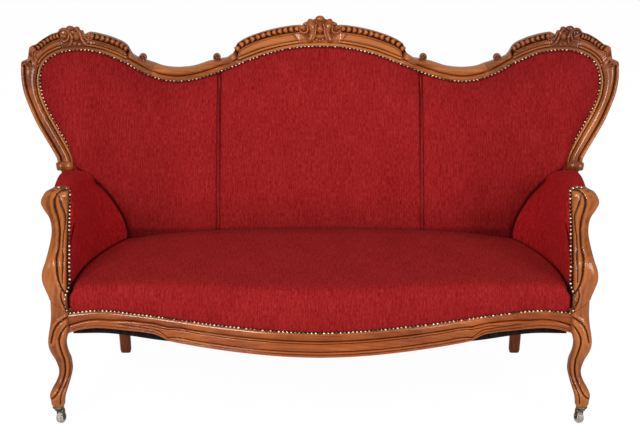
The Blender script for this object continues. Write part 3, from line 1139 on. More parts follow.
print("scene: front legs and arm posts")
frontLeg = {
    # (height, x, y, half width, half depth)
    "rows": ((0.0560, 0.7580, -0.004, 0.0150, 0.0150), (0.0640, 0.7580, -0.006, 0.0190, 0.0190),
             (0.0780, 0.7580, -0.009, 0.0205, 0.0210), (0.0930, 0.7580, -0.009, 0.0230, 0.0230),
             (0.1090, 0.7525, -0.004, 0.0225, 0.0225), (0.1280, 0.7440, 0.006, 0.0200, 0.0200),
             (0.1460, 0.7380, 0.012, 0.0188, 0.0190), (0.1640, 0.7355, 0.014, 0.0200, 0.0200),
             (0.1820, 0.7380, 0.012, 0.0218, 0.0220), (0.2000, 0.7420, 0.007, 0.0238, 0.0240),
             (0.2180, 0.7490, 0.000, 0.0252, 0.0260), (0.2370, 0.7540, -0.005, 0.0262, 0.0280),
             (0.2550, 0.7550, -0.007, 0.0265, 0.0290), (0.2750, 0.7520, -0.004, 0.0275, 0.0290),
             (0.3000, 0.7485, 0.000, 0.0270, 0.0280), (0.3270, 0.7475, 0.003, 0.0252, 0.0265),
             (0.3580, 0.7475, 0.003, 0.0252, 0.0260)),
    "fullness": 3.0, "around": 108, "step": 0.0018, "middle": 0.7475,
    # the joint with the arm post slopes: its slope, where it starts to be felt and how soon it is full
    "shear": 0.76, "shearFrom": 0.290, "shearRun": 0.060,
    # grooves in the front face: line of (x, z), half width, depth
    "grooves": (
        (((0.720, 0.3290), (0.733, 0.3240), (0.747, 0.3140), (0.757, 0.3030), (0.764, 0.2880),
          (0.768, 0.2710), (0.771, 0.2560)), 0.0018, 0.0042),
        (((0.719, 0.3090), (0.731, 0.2990), (0.742, 0.2830), (0.747, 0.2690), (0.747, 0.2540),
          (0.744, 0.2370), (0.740, 0.2200), (0.736, 0.2030), (0.735, 0.1850), (0.735, 0.1680),
          (0.737, 0.1510), (0.741, 0.1380), (0.747, 0.1250), (0.753, 0.1110), (0.760, 0.0990),
          (0.768, 0.0900), (0.777, 0.0850)), 0.0019, 0.0042),
        (((0.722, 0.2700), (0.728, 0.2560), (0.729, 0.2380), (0.726, 0.2180), (0.722, 0.1980),
          (0.721, 0.1780), (0.723, 0.1560), (0.729, 0.1360), (0.737, 0.1200), (0.744, 0.1060),
          (0.748, 0.0900), (0.750, 0.0700)),
         0.0018, 0.0028)),
}
armPost = {
    # (height, outer x, face y)
    "rows": ((0.3583, 0.7730, -0.0200), (0.3800, 0.7760, -0.0200), (0.4050, 0.7860, -0.0190),
             (0.4300, 0.7950, -0.0175), (0.4600, 0.7945, -0.0130), (0.4850, 0.7860, -0.0070),
             (0.5150, 0.7780, 0.0080), (0.5350, 0.7735, 0.0180), (0.5600, 0.7700, 0.0320),
             (0.5820, 0.7720, 0.0450), (0.6020, 0.7800, 0.0600), (0.6210, 0.7960, 0.0730),
             (0.6380, 0.8050, 0.0840), (0.6540, 0.8000, 0.0930), (0.6660, 0.7890, 0.1000),
             (0.6720, 0.7740, 0.1050)),
    "inner": 0.7240, "depth": 0.046, "fullness": 3.4, "around": 108, "step": 0.0020, "middle": 0.7475,
    "shear": 0.76, "shearTo": 0.460, "shearRun": 0.060, "top": 0.672,
    # rounded top: (rise, share of the width)
    "cap": ((0.0014, 0.975), (0.0030, 0.90), (0.0040, 0.74)),
    "grooves": (
        (((0.728, 0.6730), (0.744, 0.6720), (0.756, 0.6640), (0.763, 0.6500), (0.763, 0.6370),
          (0.759, 0.6220), (0.753, 0.6070), (0.748, 0.5910), (0.745, 0.5750), (0.744, 0.5590),
          (0.745, 0.5270), (0.750, 0.5080), (0.752, 0.4980), (0.751, 0.4760), (0.749, 0.4540),
          (0.745, 0.4360), (0.740, 0.4200), (0.734, 0.4080), (0.727, 0.3960)), 0.0023, 0.0048),
        (((0.752, 0.6600), (0.748, 0.6480), (0.743, 0.6340), (0.737, 0.6220), (0.732, 0.6100),
          (0.730, 0.5970), (0.731, 0.5780), (0.734, 0.5590), (0.735, 0.5260), (0.733, 0.4940),
          (0.734, 0.4700), (0.736, 0.4490), (0.735, 0.4280)), 0.0018, 0.0030),
        (((0.738, 0.4080), (0.741, 0.3920), (0.738, 0.3760), (0.732, 0.3620),
          (0.727, 0.3500)), 0.0017, 0.0030)),
}


def lineDistance(x, z, line):
    # distance of points from a line of (x, z)
    near = np.full(x.shape, 1.0)
    for (x0, z0), (x1, z1) in zip(line, line[1:]):
        dx, dz = x1 - x0, z1 - z0
        along = np.clip(((x - x0) * dx + (z - z0) * dz) / (dx * dx + dz * dz), 0, 1)
        near = np.minimum(near, np.hypot(x - x0 - along * dx, z - z0 - along * dz))
    return near


def frontGrooves(x, z, lines):
    # each groove has a raised shoulder on both sides
    depth, stain = np.zeros(x.shape), np.zeros(x.shape)
    for line, half, deep in lines:
        away = lineDistance(x, z, line)
        stain = np.maximum(stain, hump(away, 0, 3.6 * half, 0.34))
        depth = depth + hump(away, 0, half, deep) - hump(away, 3.8 * half, 2.4 * half, 0.42 * deep)
    return depth, stain


def superRing(around, fullness):
    # squared circle with its points spaced evenly
    angle = np.linspace(0, 2 * np.pi, 20001)
    power = 2.0 / fullness
    x = np.sign(np.cos(angle)) * np.abs(np.cos(angle)) ** power
    y = np.sign(np.sin(angle)) * np.abs(np.sin(angle)) ** power
    length = np.r_[0, np.cumsum(np.hypot(np.diff(x), np.diff(y)))]
    at = length[-1] * np.arange(around) / around
    return np.interp(at, length, x), np.interp(at, length, y)


def carvedLoft(name, side, x, y, z, grooves, surface, *solids):
    # x, y, z: rings of a loft on the right side, with grooves cut into what faces the front
    middle = y.mean(1, keepdims=True)
    front = smoothStep((middle - y) / np.maximum(np.ptp(y, axis=1)[:, None], 1e-4), 0.12, 0.34)
    depth, stain = frontGrooves(x, z, grooves)
    y = y + depth * front
    rings = np.stack([x * side, y, z], 2)
    piece = makePiece(name, rings, ringFaces(len(rings), rings.shape[1]), surface, 60)
    markHollows(piece, 20, 0.0011, (stain * front).ravel())
    return finishPiece(piece, *solids, slot="polished_walnut")


def postFace(z):
    return readTable(armPost["rows"], np.minimum(z, armPost["top"]), 2)


def slopedHeights(plan, level, x, bend):
    # heights of a ring whose plane tips with the sloping joint
    return level + plan["shear"] * (x - plan["middle"]) * np.clip(bend / plan["shearRun"], 0, 1)


def carveLeg(side):
    rows = frontLeg["rows"]
    level = np.arange(rows[0][0], rows[-1][0], frontLeg["step"])[:, None]
    across, deep = superRing(frontLeg["around"], frontLeg["fullness"])
    z = level + 0 * across
    for tries in range(4):
        x = readTable(rows, z, 1) + readTable(rows, z, 3) * across
        y = readTable(rows, z, 2) + readTable(rows, z, 4) * deep
        z = slopedHeights(frontLeg, level, x, level - frontLeg["shearFrom"])
    carvedLoft("carved_front_leg_" + sideName(side), side, x, y, z, frontLeg["grooves"], "walnutUpright",
               "front_leg_" + sideName(side))


def carvePost(side):
    rows, cap, inner = armPost["rows"], armPost["cap"], armPost["inner"]
    straight = np.r_[np.arange(rows[0][0], armPost["top"], armPost["step"]), armPost["top"]]
    level = np.r_[straight, [armPost["top"] + rise for rise, size in cap]][:, None]
    size = np.r_[np.ones(len(straight)), [size for rise, size in cap]][:, None]
    across, deep = superRing(armPost["around"], armPost["fullness"])
    z = level + 0 * across
    for tries in range(4):
        outer = readTable(rows, z, 1)
        x = (outer + inner) / 2 + (outer - inner) / 2 * size * across
        y = postFace(z) + armPost["depth"] / 2 * (1 + size * deep)
        z = slopedHeights(armPost, level, x, armPost["shearTo"] - level)
    carvedLoft("carved_arm_post_" + sideName(side), side, x, y, z, armPost["grooves"], "walnutUpright",
               "arm_post_" + sideName(side))


for side in (-1, 1):
    carveLeg(side)
    carvePost(side)

frontNails = {
    "rail": ((0.7175, 0.3350), (0.709, 0.3355), (0.689, 0.338), (0.660, 0.341), (0.602, 0.341),
             (0.543, 0.335), (0.485, 0.330), (0.428, 0.324), (0.366, 0.319), (0.304, 0.3135),
             (0.251, 0.311), (0.190, 0.307), (0.133, 0.304), (0.072, 0.3015), (0.000, 0.300)),
    "post": ((0.753, 0.6805), (0.737, 0.6805), (0.7225, 0.6730), (0.7200, 0.6480), (0.7190, 0.5970),
             (0.7170, 0.5450), (0.7160, 0.4850), (0.7180, 0.4180), (0.7225, 0.4060), (0.7275, 0.3950),
             (0.7305, 0.3830), (0.7310, 0.3730), (0.7295, 0.3610), (0.7250, 0.3480)),
    "railSunk": 0.0008, "postSunk": 0.0020, "inward": -0.35, "leanTop": 0.667,
}


def slopeOf(shape, at, step):
    return float(shape(at + step) - shape(at - step)) / (2 * step)


def railNails():
    knots = np.asarray(frontNails["rail"])
    end, line = knots[0, 0], []
    for x in np.linspace(-end, end, 240):
        height = float(curveThrough(-knots[:, 0], knots[:, 1], -abs(x)))
        slope = slopeOf(railFace, abs(x), 0.001) * (1 if x > 0 else -1)
        point = Vector((x, float(railFace(x)) + frontNails["railSunk"], height))
        line.append((point, Vector((slope, -1, 0)).normalized()))
    return line


def postNails(side):
    knots = np.asarray(frontNails["post"])
    length = lengthAlong(knots)
    line = []
    for x, z in curveThrough(length, knots, np.linspace(0, length[-1], 90)):
        lean = slopeOf(postFace, min(z, frontNails["leanTop"]), 0.004)
        point = Vector((x * side, float(postFace(z)) + frontNails["postSunk"], z))
        line.append((point, Vector((frontNails["inward"] * side, -1, lean)).normalized()))
    return line


lines = [railNails(), postNails(-1), postNails(1)]
finishPiece(runBeads("front_nails", lines, "nailBrass", **nailing), slot="old_brass")

print("scene: stuffed back, seat and arms")
stuffing = {"pressure": 4.0, "frames": 20, "fill": 0.85}


def padShell(name, front, back, weave, surface):
    # closed shell of two grids joined round their edge; weave holds the cloth's flat place in metres
    rows, columns = front.shape[:2]
    count = rows * columns
    ahead = gridFaces(rows, columns)
    faces = ahead + [tuple(index + count for index in reversed(face)) for face in ahead]
    rim = [(0, column) for column in range(columns)] + [(row, columns - 1) for row in range(1, rows)]
    rim += [(rows - 1, column) for column in range(columns - 2, -1, -1)]
    rim += [(row, 0) for row in range(rows - 2, 0, -1)]
    loop = [row * columns + column for row, column in rim]
    faces += [(a, a + count, b + count, b) for a, b in zip(loop, loop[1:] + loop[:1])]
    piece = makePiece(name, np.concatenate([front.reshape(-1, 3), back.reshape(-1, 3)]), faces, surface)
    addWeave(piece, np.concatenate([weave.reshape(-1, 2)] * 2))
    return piece


def addWeave(piece, places):
    mesh = piece.data
    corners = np.empty(len(mesh.loops), int)
    mesh.loops.foreach_get("vertex_index", corners)
    mesh.uv_layers.new(name="weave").data.foreach_set("uv", np.asarray(places, float)[corners].ravel())


def storeAhead(piece, name, values):
    # values for the front of a pad; what lies behind them gets 0
    rest = np.zeros(len(piece.data.vertices) - values.size)
    storeValues(piece, name, np.concatenate([values.ravel(), rest]))


def shadeSeams(piece, shade):
    # how deep in a seam each point of the cloth lies, 0 to 1
    storeAhead(piece, "seamShade", np.clip(shade, 0, 1))


def swell(piece, held, cap):
    # air in the stuffing: the held points stay, the others swell by the cap at most
    scene = bpy.context.scene
    group = piece.vertex_groups.new(name="held")
    group.add([int(index) for index in np.flatnonzero(held)], 1.0, "REPLACE")
    cloth = piece.modifiers.new("stuffing", "CLOTH")
    cloth.settings.quality = 4
    cloth.settings.use_pressure = True
    cloth.settings.uniform_pressure_force = stuffing["pressure"]
    cloth.settings.effector_weights.gravity = 0.0
    cloth.settings.vertex_group_mass = "held"
    cloth.collision_settings.use_collision = False
    cloth.point_cache.frame_start = 1
    cloth.point_cache.frame_end = stuffing["frames"]
    for step in range(1, stuffing["frames"] + 1):
        scene.frame_set(step)
    swollen = piece.evaluated_get(bpy.context.evaluated_depsgraph_get()).to_mesh()
    base = readPoints(piece.data)
    move = readPoints(swollen) - base
    piece.modifiers.clear()
    piece.vertex_groups.clear()
    scene.frame_set(1)
    far = np.linalg.norm(move, axis=1, keepdims=True)
    move = move * cap * np.tanh(far / cap) / np.maximum(far, 1e-9)
    steady = relax(move, readEdges(piece.data), 4)
    move = np.where(held[:, None], 0.0, steady)
    piece.data.vertices.foreach_set("co", (base + move).ravel())
    piece.data.update()


def puffUp(piece, held, cap):
    swell(piece, held, cap)
    finer = piece.modifiers.new("finer", "SUBSURF")
    finer.levels = finer.render_levels = 1
    finer.subdivision_type = "CATMULL_CLARK"
    piece.data = bakedMesh(piece)
    piece.data.shade_smooth()


stuffedBack = {
    "fill": 0.027, "cap": 0.006, "foot": 0.3465, "columns": 193, "rows": 66, "reach": 0.8615,
    "seam": (0.318, 0.312), "seamFeet": 0.440, "seamTop": 0.898, "grooveHalf": 0.0070, "groove": 0.0048,
    "welt": 0.0023, "edgeGap": 0.0028, "heldHalf": 0.0055,
    "besideArm": (0.594, 0.775), "overSeat": 0.430,
    # seam with the arm: (height, x)
    "armSeam": ((0.345, 0.594), (0.415, 0.594), (0.440, 0.597), (0.468, 0.604), (0.505, 0.623),
                (0.546, 0.650), (0.587, 0.688), (0.612, 0.720), (0.640, 0.762)),
}


def frameLine(share):
    # upper and lower part of the line at a share of the frame's width, split at its widest point
    nail, outer = frameRows(np.linspace(0, 31, 1200))
    points = nail + share * (outer - nail)
    widest = int(np.argmax(points[:, 0]))
    return points[:widest + 1], points[widest:][::-1]


nailUpper, nailLower = frameLine(0.0)


def nailHeight(x):
    return np.interp(np.abs(x), nailUpper[:, 0], nailUpper[:, 1])


def padFoot(x):
    # lower edge of the stuffed back: its foot, the seam with the arm, or the stile's nails
    x = np.abs(x)
    seam = np.asarray(stuffedBack["armSeam"])
    alongSeam = np.interp(x, seam[1:, 1], seam[1:, 0]) - 0.026 - 0.030 * smoothStep(x, 0.690, 0.720)
    foot = np.where(x > seam[1, 1] - 0.0025, alongSeam, stuffedBack["foot"])
    return np.where(x >= nailLower[0, 0], np.interp(x, nailLower[:, 0], nailLower[:, 1]), foot)


def seamAt(z):
    foot, top = stuffedBack["seamFeet"], stuffedBack["seamTop"]
    below, above = stuffedBack["seam"]
    return below + (above - below) * np.clip((z - foot) / (top - foot), -0.2, 1.0)


def fromSeam(x, z):
    # distance from the nearer of the two stitched seams
    return np.abs(np.abs(x) - seamAt(z))


def backFullness(x, s):
    sides = 1 - np.clip(np.abs(x) / stuffedBack["reach"], 0, 1) ** 16
    low = 1 - np.clip(1 - 2 * s, 0, 1) ** 6
    beside = (np.abs(x) > stuffedBack["besideArm"][0]) & (np.abs(x) < stuffedBack["besideArm"][1])
    low = np.where(beside, 0.55 + 0.45 * low, low)
    return sides * low * (1 - np.clip(2 * s - 1, 0, 1) ** 7)


def backFront(x, z, fullness):
    groove = hump(fromSeam(x, z), 0, stuffedBack["grooveHalf"], stuffedBack["groove"])
    return backFace(x, z) - 0.003 - stuffedBack["fill"] * fullness + groove * fullness


def backShade(x, z):
    side, above = np.abs(x), z > stuffedBack["overSeat"]
    alongArm = lineDistance(side, z, [(seamX, seamZ) for seamZ, seamX in stuffedBack["armSeam"]])
    toFrame = np.minimum(nailHeight(x) - z, 1.1 * (stuffedBack["reach"] - side))
    foot = 0.40 * (1 - smoothStep(z, 0.436, 0.448)) * (side < 0.60)
    shade = np.maximum(hump(alongArm, 0, 0.0045, 0.95) * above, foot)
    edge = 0.16 * (1 - smoothStep(toFrame, 0.0, 0.14)) + 0.45 * (1 - smoothStep(toFrame, 0.0015, 0.010))
    shade = np.maximum(shade, edge)
    shade = shade + 0.15 * smoothStep(side, 0.36, 0.54) + 0.15 * (1 - smoothStep(z, 0.45, 0.57))
    return shade + hump(fromSeam(x, z), 0, 0.0100, 0.16) * above


def stuffBack():
    half = (stuffedBack["columns"] - 1) // 2
    share = np.linspace(0, 1, half + 1)
    x = stuffedBack["reach"] * (share + 0.035 * np.sin(np.pi * share) ** 3)
    x = np.r_[-x[::-1], x[1:]][None, :]
    s = np.linspace(0, 1, stuffedBack["rows"])[:, None]
    s = s + 0.045 * np.sin(2 * np.pi * s) * -1.0
    low, high = padFoot(x) + stuffedBack["edgeGap"], nailHeight(x) - stuffedBack["edgeGap"]
    z = low + s * (high - low)
    x = np.broadcast_to(x, z.shape)
    fullness = backFullness(x, s)
    front = np.stack([x, backFront(x, z, fullness), z], 2)
    behind = np.where(np.abs(x) < 0.52, 0.0040, 0.0005)
    back = np.stack([x, backFace(x, z) + behind, z], 2)
    piece = padShell("stuffed_back", front, back, np.stack([x, z], 2), "crimson")
    shadeSeams(piece, backShade(x, z))
    storeAhead(piece, "weltNear", np.clip(0.05 - fromSeam(x, z), 0, None))
    held = np.zeros(x.shape, bool)
    held[:2], held[-2:], held[:, :2], held[:, -2:] = True, True, True, True
    held |= fromSeam(x, z) < stuffedBack["heldHalf"]
    puffUp(piece, np.r_[held.ravel(), np.ones(x.size, bool)], stuffedBack["cap"])
    return finishPiece(piece, "back_upholstery", slot="crimson_cloth")


def tube(path, radius, around=10):
    # round welt along a line of points
    points = np.asarray(path, float)
    along = np.gradient(points, axis=0)
    along /= np.linalg.norm(along, axis=1)[:, None]
    side = np.cross(along, (0.0, 1.0, 0.0))
    side /= np.linalg.norm(side, axis=1)[:, None]
    other = np.cross(side, along)
    angle = 2 * np.pi * np.arange(around) / around
    angle = angle[None, :, None]
    return points[:, None] + radius * (np.cos(angle) * side[:, None] + np.sin(angle) * other[:, None])


def coverWelt(name, path, radius, *solids):
    rings = tube(path, radius)
    piece = makePiece(name, rings, ringFaces(*rings.shape[:2]), "crimson")
    around = np.linspace(0, 2 * np.pi * radius, rings.shape[1])
    place = np.stack(np.broadcast_arrays(around[None, :], lengthAlong(path)[:, None]), 2)
    addWeave(piece, place.reshape(-1, 2))
    return finishPiece(piece, *solids, slot="crimson_cloth")


def weltBack(side):
    z = np.linspace(stuffedBack["seamFeet"], stuffedBack["seamTop"] + 0.004, 70)
    x = seamAt(z)
    s = (z - stuffedBack["foot"]) / (nailHeight(x) - stuffedBack["foot"])
    y = backFront(x, z, backFullness(x, s)) + 0.0008
    coverWelt("back_seam_welt_" + sideName(side), np.stack([x * side, y, z], 1), stuffedBack["welt"],
              "back_welt_" + sideName(side))


stuffBack()
for side in (-1, 1):
    weltBack(side)

stuffedSeat = {
    "level": 0.420, "crown": 0.030, "cap": 0.007, "skirt": 0.354, "ceiling": 0.3895,
    "columns": 167, "rows": 92,
    "behindBack": 0.0300, "edge": 0.7135, "sideRoll": 0.020, "sideDrop": 0.016, "rearHalf": 0.594,
    "stations": (0.055, 0.11, 0.20, 0.34, 0.52, 0.70, 0.86, 0.95, 1.0),
    # front border: (behind the rail's face, share of the height from nails to level)
    "border": ((0.0012, 0.00), (-0.0040, 0.10), (-0.0085, 0.30), (-0.0092, 0.52), (-0.0062, 0.72),
               (0.0008, 0.875), (0.0120, 0.965)),
}
armShape = {
    "seam": stuffedBack["armSeam"], "front": ((0.345, 0.716), (0.450, 0.716), (0.550, 0.709),
                                              (0.660, 0.708)),
    "fill": 2.2, "depth": 0.560, "top": ((0.060, 0.676), (0.150, 0.672), (0.300, 0.661), (0.450, 0.645),
                                         (0.575, 0.6265), (0.600, 0.6220)),
    "outer": ((0.060, 0.770), (0.300, 0.788), (0.575, 0.806), (0.600, 0.8070)),
    "foot": 0.350, "rear": 0.5740, "stations": 64, "around": 84, "hidden": 24, "cap": 0.0055,
    "beside": 0.038, "postGap": 0.0026, "crown": 0.034,
}


def armInside(y, z):
    front = readTable(armShape["front"], z)
    seam = readTable(armShape["seam"], z)
    return front + (seam - front) * np.clip(y / armShape["depth"], 0, 1) ** armShape["fill"]


def seatTop(u, v):
    arch = (1 - np.abs(u) ** 3) * np.sin(np.pi * (0.12 + 0.50 * v))
    return stuffedSeat["level"] + stuffedSeat["crown"] * arch


def seatRear(u):
    return float(backFace(u * stuffedSeat["rearHalf"], stuffedSeat["level"])) - stuffedSeat["behindBack"]


def seatPath(u, face, rear, nail):
    # the cloth from the nails of the rail over the border and the top, down behind: (y, z)
    level = float(seatTop(u, 0.0))
    path = [(face + behind, nail + share * (level - nail)) for behind, share in stuffedSeat["border"]]
    start = face + 0.004
    for v in stuffedSeat["stations"]:
        sunk = 0.010 * max(0.0, (v - 0.93) / 0.07) ** 2
        path.append((start + v * (rear - start), float(seatTop(u, v)) - sunk))
    return path + [(rear + 0.003, 0.418), (rear + 0.003, stuffedSeat["skirt"])]


def stuffSeat():
    columns, rows = stuffedSeat["columns"], stuffedSeat["rows"]
    front = np.zeros((rows, columns, 3))
    under = np.zeros((rows, columns, 3))
    weave = np.zeros((rows, columns, 2))
    for column, u in enumerate(np.linspace(-1, 1, columns)):
        face = float(railFace(u * stuffedSeat["edge"]))
        rear = seatRear(u)
        nail = float(readTable(frontRail["edges"], abs(u) * stuffedSeat["edge"])) + 0.0015
        path = seatPath(u, face, rear, nail)
        length = lengthAlong(path)
        read = curveThrough(length, path, np.linspace(0, length[-1], rows))
        y, z = read[:, 0], read[:, 1]
        reach = armInside(np.maximum(y, 0.0), stuffedSeat["level"]) - 0.0030
        reach = reach + 0.0080 * (1 - smoothStep(y, -0.0085, -0.0035))
        x = u * reach
        shoulder = (abs(u) * reach - reach + stuffedSeat["sideRoll"]) / stuffedSeat["sideRoll"]
        shoulder = np.clip(shoulder, 0, 1) ** 2.4
        z = z - stuffedSeat["sideDrop"] * shoulder * smoothStep(z, 0.385, 0.425)
        front[:, column] = np.stack([x, y, z], 1)
        innerY = np.clip(y, face + 0.048, rear - 0.030)
        innerY = np.where(z < nail + 0.020, np.maximum(y + 0.0040, face + 0.0070), innerY)
        ceiling = stuffedSeat["ceiling"] - 0.012 * shoulder
        under[:, column] = np.stack([x * 0.985, innerY, np.minimum(z, ceiling)], 1)
        weave[:, column] = np.stack([x, np.linspace(0, length[-1], rows)], 1)
    piece = padShell("stuffed_seat", front, under, weave, "crimson")
    across = np.linspace(-1, 1, columns)
    toArm = (1 - np.abs(across)[None, :]) * 0.65 + 0 * front[:, :, 1]
    toBack = np.array([seatRear(u) for u in across])[None, :] - front[:, :, 1]
    onTop = smoothStep(front[:, :, 1] - front[:1, :, 1], 0.012, 0.030)
    shade = np.maximum(1 - smoothStep(toArm, 0.001, 0.0065), onTop * (1 - smoothStep(toBack, 0.000, 0.016)))
    shade = shade + 0.10 * (1 - onTop)
    shadeSeams(piece, np.maximum(shade, 0.46 * onTop * (1 - smoothStep(toBack, 0.0, 0.125))))
    held = np.zeros((rows, columns), bool)
    held[:2], held[-8:], held[:, :1], held[:, -1:] = True, True, True, True
    puffUp(piece, np.r_[held.ravel(), np.ones(held.size, bool)], stuffedSeat["cap"])
    return finishPiece(piece, "seat_upholstery", slot="crimson_cloth")


stuffSeat()


def sideLine(y):
    # outer face of the side seat rail, which runs in towards the back
    return 0.768 - 0.177 * y


def postBack(z):
    share = np.clip((0.475 - z) / 0.060, 0, 1)
    return np.maximum(0.0315, postFace(z + 0.020 * share) + 0.047)


def armDepth(station, z):
    # depth of the arm's points: beside the post first, then back to the seam with the stuffed back
    start = postBack(np.where(z < 0.565, z, 0.672))
    beside = start - armShape["beside"] * (1 - station / 0.10)
    rear = armShape["rear"] + 0.008 * smoothStep(z, 0.575, 0.620)
    return np.where(station < 0.10, beside, start + (station - 0.10) / 0.90 * (rear - start))


def stuffArm(side):
    stations = np.linspace(0, 1, armShape["stations"])
    stations = np.sort(np.r_[stations[1:], 0.0985, 0.0])
    rings, weave = [], []
    for station in stations:
        beside = station < 0.0999
        limit = armPost["inner"] - armShape["postGap"] if beside else 1.0
        tuck = 0.011 * max(0.0, (station - 0.962) / 0.038) ** 2
        path = []
        crestY = float(armDepth(station, 0.66))
        top = float(readTable(armShape["top"], crestY))
        for share in (0.0, 0.10, 0.25, 0.40, 0.55, 0.70, 0.85, 1.0):
            z = armShape["foot"] + share * (top - armShape["crown"] - armShape["foot"])
            y = float(armDepth(station, z))
            path.append((float(armInside(y, z)) + tuck, y, z))
        y = crestY
        outer = float(readTable(armShape["outer"], y))
        inside = min(float(armInside(y, top - armShape["crown"])), outer - 0.040)
        crest = (inside + outer) / 2
        reach = crest - inside
        path += [(inside + 0.06 * reach + tuck, y, top - 0.0225),
                 (inside + 0.22 * reach + tuck, y, top - 0.0125 - 0.4 * tuck),
                 (inside + 0.52 * reach, y, top - 0.0042 - 0.6 * tuck), (crest, y, top - 0.6 * tuck),
                 (outer - 0.0120, y, top - 0.0045), (outer - 0.0030, y, top - 0.0140),
                 (outer, y, top - 0.0265)]
        shown = len(path)
        path += [(outer - 0.0325, y, top - 0.0265), (outer - 0.0325, y, top - 0.0560)]
        for z in (0.540, 0.500, 0.460, 0.420, armShape["foot"]):
            y = float(armDepth(station, z))
            path.append((min(float(armInside(y, z)) + 0.026, sideLine(y) - 0.014), y, z))
        path = np.asarray(path)
        path[:, 0] = np.minimum(path[:, 0], limit)
        outside = path[:shown]
        length = lengthAlong(outside)
        at = np.linspace(0, length[-1], armShape["around"] - armShape["hidden"])
        shownPart = curveThrough(length, outside, at)
        shownPart[:, 0] = np.minimum(shownPart[:, 0], limit)
        inner = path[shown - 1:]
        innerLength = lengthAlong(inner)
        steps = np.linspace(0, innerLength[-1], armShape["hidden"] + 2)[1:-1]
        innerPart = np.stack([np.interp(steps, innerLength, inner[:, axis]) for axis in range(3)], 1)
        rings.append(np.concatenate([shownPart, innerPart]) * (side, 1, 1))
        places = 0.5 * np.r_[shownPart[:, 1], innerPart[:, 1]] + 0.37
        weave.append(np.stack([places, np.r_[at, length[-1] + steps]], 1))
    rings = np.asarray(rings)
    piece = makePiece("stuffed_arm_" + sideName(side), rings, ringFaces(*rings.shape[:2]), "crimsonArms")
    addWeave(piece, np.asarray(weave).reshape(-1, 2))
    low = 1 - smoothStep(rings[:, :, 2], 0.412, 0.422)
    shadeSeams(piece, np.maximum(low, smoothStep(stations, 0.984, 0.998)[:, None] + 0 * low))
    held = np.zeros(rings.shape[:2], bool)
    held[:8], held[-2:] = True, True
    held[:, :3] = True
    held[:, armShape["around"] - armShape["hidden"] - 1:] = True
    puffUp(piece, held.ravel(), armShape["cap"])
    return finishPiece(piece, "arm_upholstery_" + sideName(side), slot="crimson_cloth")


for side in (-1, 1):
    stuffArm(side)

print("scene: stretched covers and dust cover")
covers = {
    "thick": 0.0012, "backInset": 0.17, "backDepth": 0.0363, "panel": 0.003, "foot": 0.300,
    "outsideBack": {"flat": (1.75, 0.66), "area": 1.00, "columns": 130, "rows": 46, "reach": 0.866},
    "armPanel": {"flat": (0.56, 0.32), "area": 0.160, "columns": 40, "rows": 30,
                 "turnedIn": (0.010, 0.020, 0.030),
                 "rear": ((0.300, 0.5810), (0.340, 0.5730), (0.420, 0.5725), (0.500, 0.5770),
                          (0.570, 0.5830), (0.600, 0.5855))},
    "dustCover": {"flat": (1.42, 0.64), "area": 0.84, "columns": 100, "rows": 44, "top": 0.2620,
                  "sag": 0.012, "rear": 0.585, "turnUp": 0.026,
                  "frontDrop": ((0.000, 0.0180), (0.400, 0.0180), (0.453, 0.0155), (0.497, 0.0115),
                                (0.550, 0.0050), (0.600, 0.0000), (0.720, 0.0000))},
}


def rebateRange(x):
    # lowest and highest point of the rear rebate
    upper, lower = frameLine(covers["backInset"])
    high = np.interp(x, upper[:, 0], upper[:, 1])
    legs = np.asarray(((0.000, 0.6230, 0.0150), (0.080, 0.6240, 0.0180), (0.180, 0.6290, 0.0190),
                       (0.260, 0.6370, 0.0205), (0.340, 0.6510, 0.0215), (0.420, 0.6820, 0.0220),
                       (0.500, 0.7220, 0.0220), (0.570, 0.7560, 0.0225), (0.6277, 0.7840, 0.0250)))
    heights = np.linspace(covers["foot"], legs[-1, 0], 40)
    inner = readTable(legs, heights, 1) - readTable(legs, heights, 2) - 0.0060
    low = np.where(x > inner[0], np.interp(x, inner, heights), covers["foot"])
    return np.where(x >= lower[0, 0], np.interp(x, lower[:, 0], lower[:, 1]), low), high


def coverBack():
    plan = covers["outsideBack"]
    x = np.linspace(-plan["reach"], plan["reach"], plan["columns"])[None, :]
    low, high = rebateRange(np.abs(x))
    z = low + np.linspace(0, 1, plan["rows"])[:, None] * (high - low)
    x = np.broadcast_to(x, z.shape)
    outerY = backFace(x, z) + covers["backDepth"] + covers["panel"]
    front = np.stack([x, outerY - covers["thick"], z], 2)
    back = np.stack([x, outerY, z], 2)
    piece = padShell("outside_back_cover", front, back, np.stack([x, z], 2), "crimson")
    finishPiece(piece, "outside_back_panel", slot="crimson_cloth")


def coverArm(side):
    plan = covers["armPanel"]
    start = float(postBack(0.672))
    outer, inner, weave = [], [], []
    columns = [(share, 0.0) for share in np.linspace(0, 1, plan["columns"])]
    columns += [(1.0, inward) for inward in plan["turnedIn"]]
    raised = np.minimum(1.0, np.linspace(0, 1, plan["rows"]) / 0.84) ** 1.2
    for share, inward in columns:
        top = float(readTable(armShape["top"], start + share * (armShape["rear"] - 0.0015 - start))) - 0.0272
        z = np.linspace(armShape["foot"], top, plan["rows"])
        begin = postBack(z) + 0.0030
        y = begin + share * (readTable(plan["rear"], z) - begin)
        low = sideLine(y) - 0.0015
        x = low + (readTable(armShape["outer"], y) - low) * raised - inward
        outer.append(np.stack([x * side, y, z], 1))
        inner.append(np.stack([(x - covers["thick"]) * side, y, z], 1))
        weave.append(np.stack([y, z], 1))
    piece = padShell("outside_arm_cover_" + sideName(side), np.asarray(outer), np.asarray(inner),
                     np.asarray(weave), "crimson")
    finishPiece(piece, "outside_arm_panel_" + sideName(side), slot="crimson_cloth")


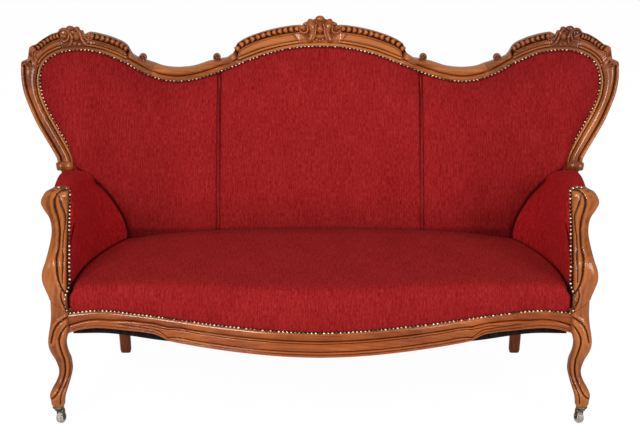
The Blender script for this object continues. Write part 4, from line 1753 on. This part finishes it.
def coverUnderside():
    plan = covers["dustCover"]
    shares = np.r_[0.0, np.linspace(0, 1, plan["rows"])]
    above, below, weave = [], [], []
    for u in np.linspace(-1, 1, plan["columns"]):
        start = float(railFace(u * 0.70)) + frontRail["thickness"] + 0.0008
        y = start + shares * (plan["rear"] - start)
        reach = np.where(y < 0.06, 0.715, 0.700)
        reach = np.where(y > 0.56, 0.630, reach)
        x = u * np.minimum(sideLine(np.maximum(y, 0.045)) - 0.010, reach)
        z = plan["top"] - plan["sag"] * (1 - abs(u) ** 4) * np.sin(np.pi * shares)
        z = z - readTable(plan["frontDrop"], np.abs(x)) * (1 - shares)
        z[0] += plan["turnUp"]
        y[:2] += 0.0030
        above.append(np.stack([x, y, z], 1))
        row = np.arange(len(y))
        below.append(np.stack([x, y - 0.0005 * (row < 2), z - covers["thick"] * (row > 0)], 1))
        weave.append(np.stack([x, y], 1))
    piece = padShell("dust_cover_cloth", np.asarray(above), np.asarray(below), np.asarray(weave), "lining")
    finishPiece(piece, "dust_cover", slot="black_cloth")


coverBack()
for side in (-1, 1):
    coverArm(side)
coverUnderside()

print("scene: finishes of the carried-over solids")
carriedOver = {
    "walnutShaded": ("rear_leg_left", "rear_leg_right"),
    "walnutDeep": ("side_seat_rail_left", "side_seat_rail_right"),
    "beech": ("rear_seat_rail", "back_lower_rail", "middle_cross_rail", "corner_block_front_left",
              "corner_block_front_right", "corner_block_rear_left", "corner_block_rear_right",
              "arm_rail_left", "arm_rail_right"),
    "beechUpright": ("back_upright_left", "back_upright_right"),
    "webbing": ("seat_webbing", "back_webbing"),
    "springSteel": tuple("seat_spring_%02d" % number for number in range(1, 11)),
    "casterBrass": ("caster_socket_left", "caster_socket_right", "caster_fork_left", "caster_fork_right",
                    "caster_axle_left", "caster_axle_right"),
    "porcelain": ("caster_wheel_left", "caster_wheel_right"),
}
for surface, nodes in carriedOver.items():
    for node in nodes:
        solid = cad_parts[node]
        solid.data.materials.clear()
        solid.data.materials.append(finish[surface])

print("scene: sizes and table")
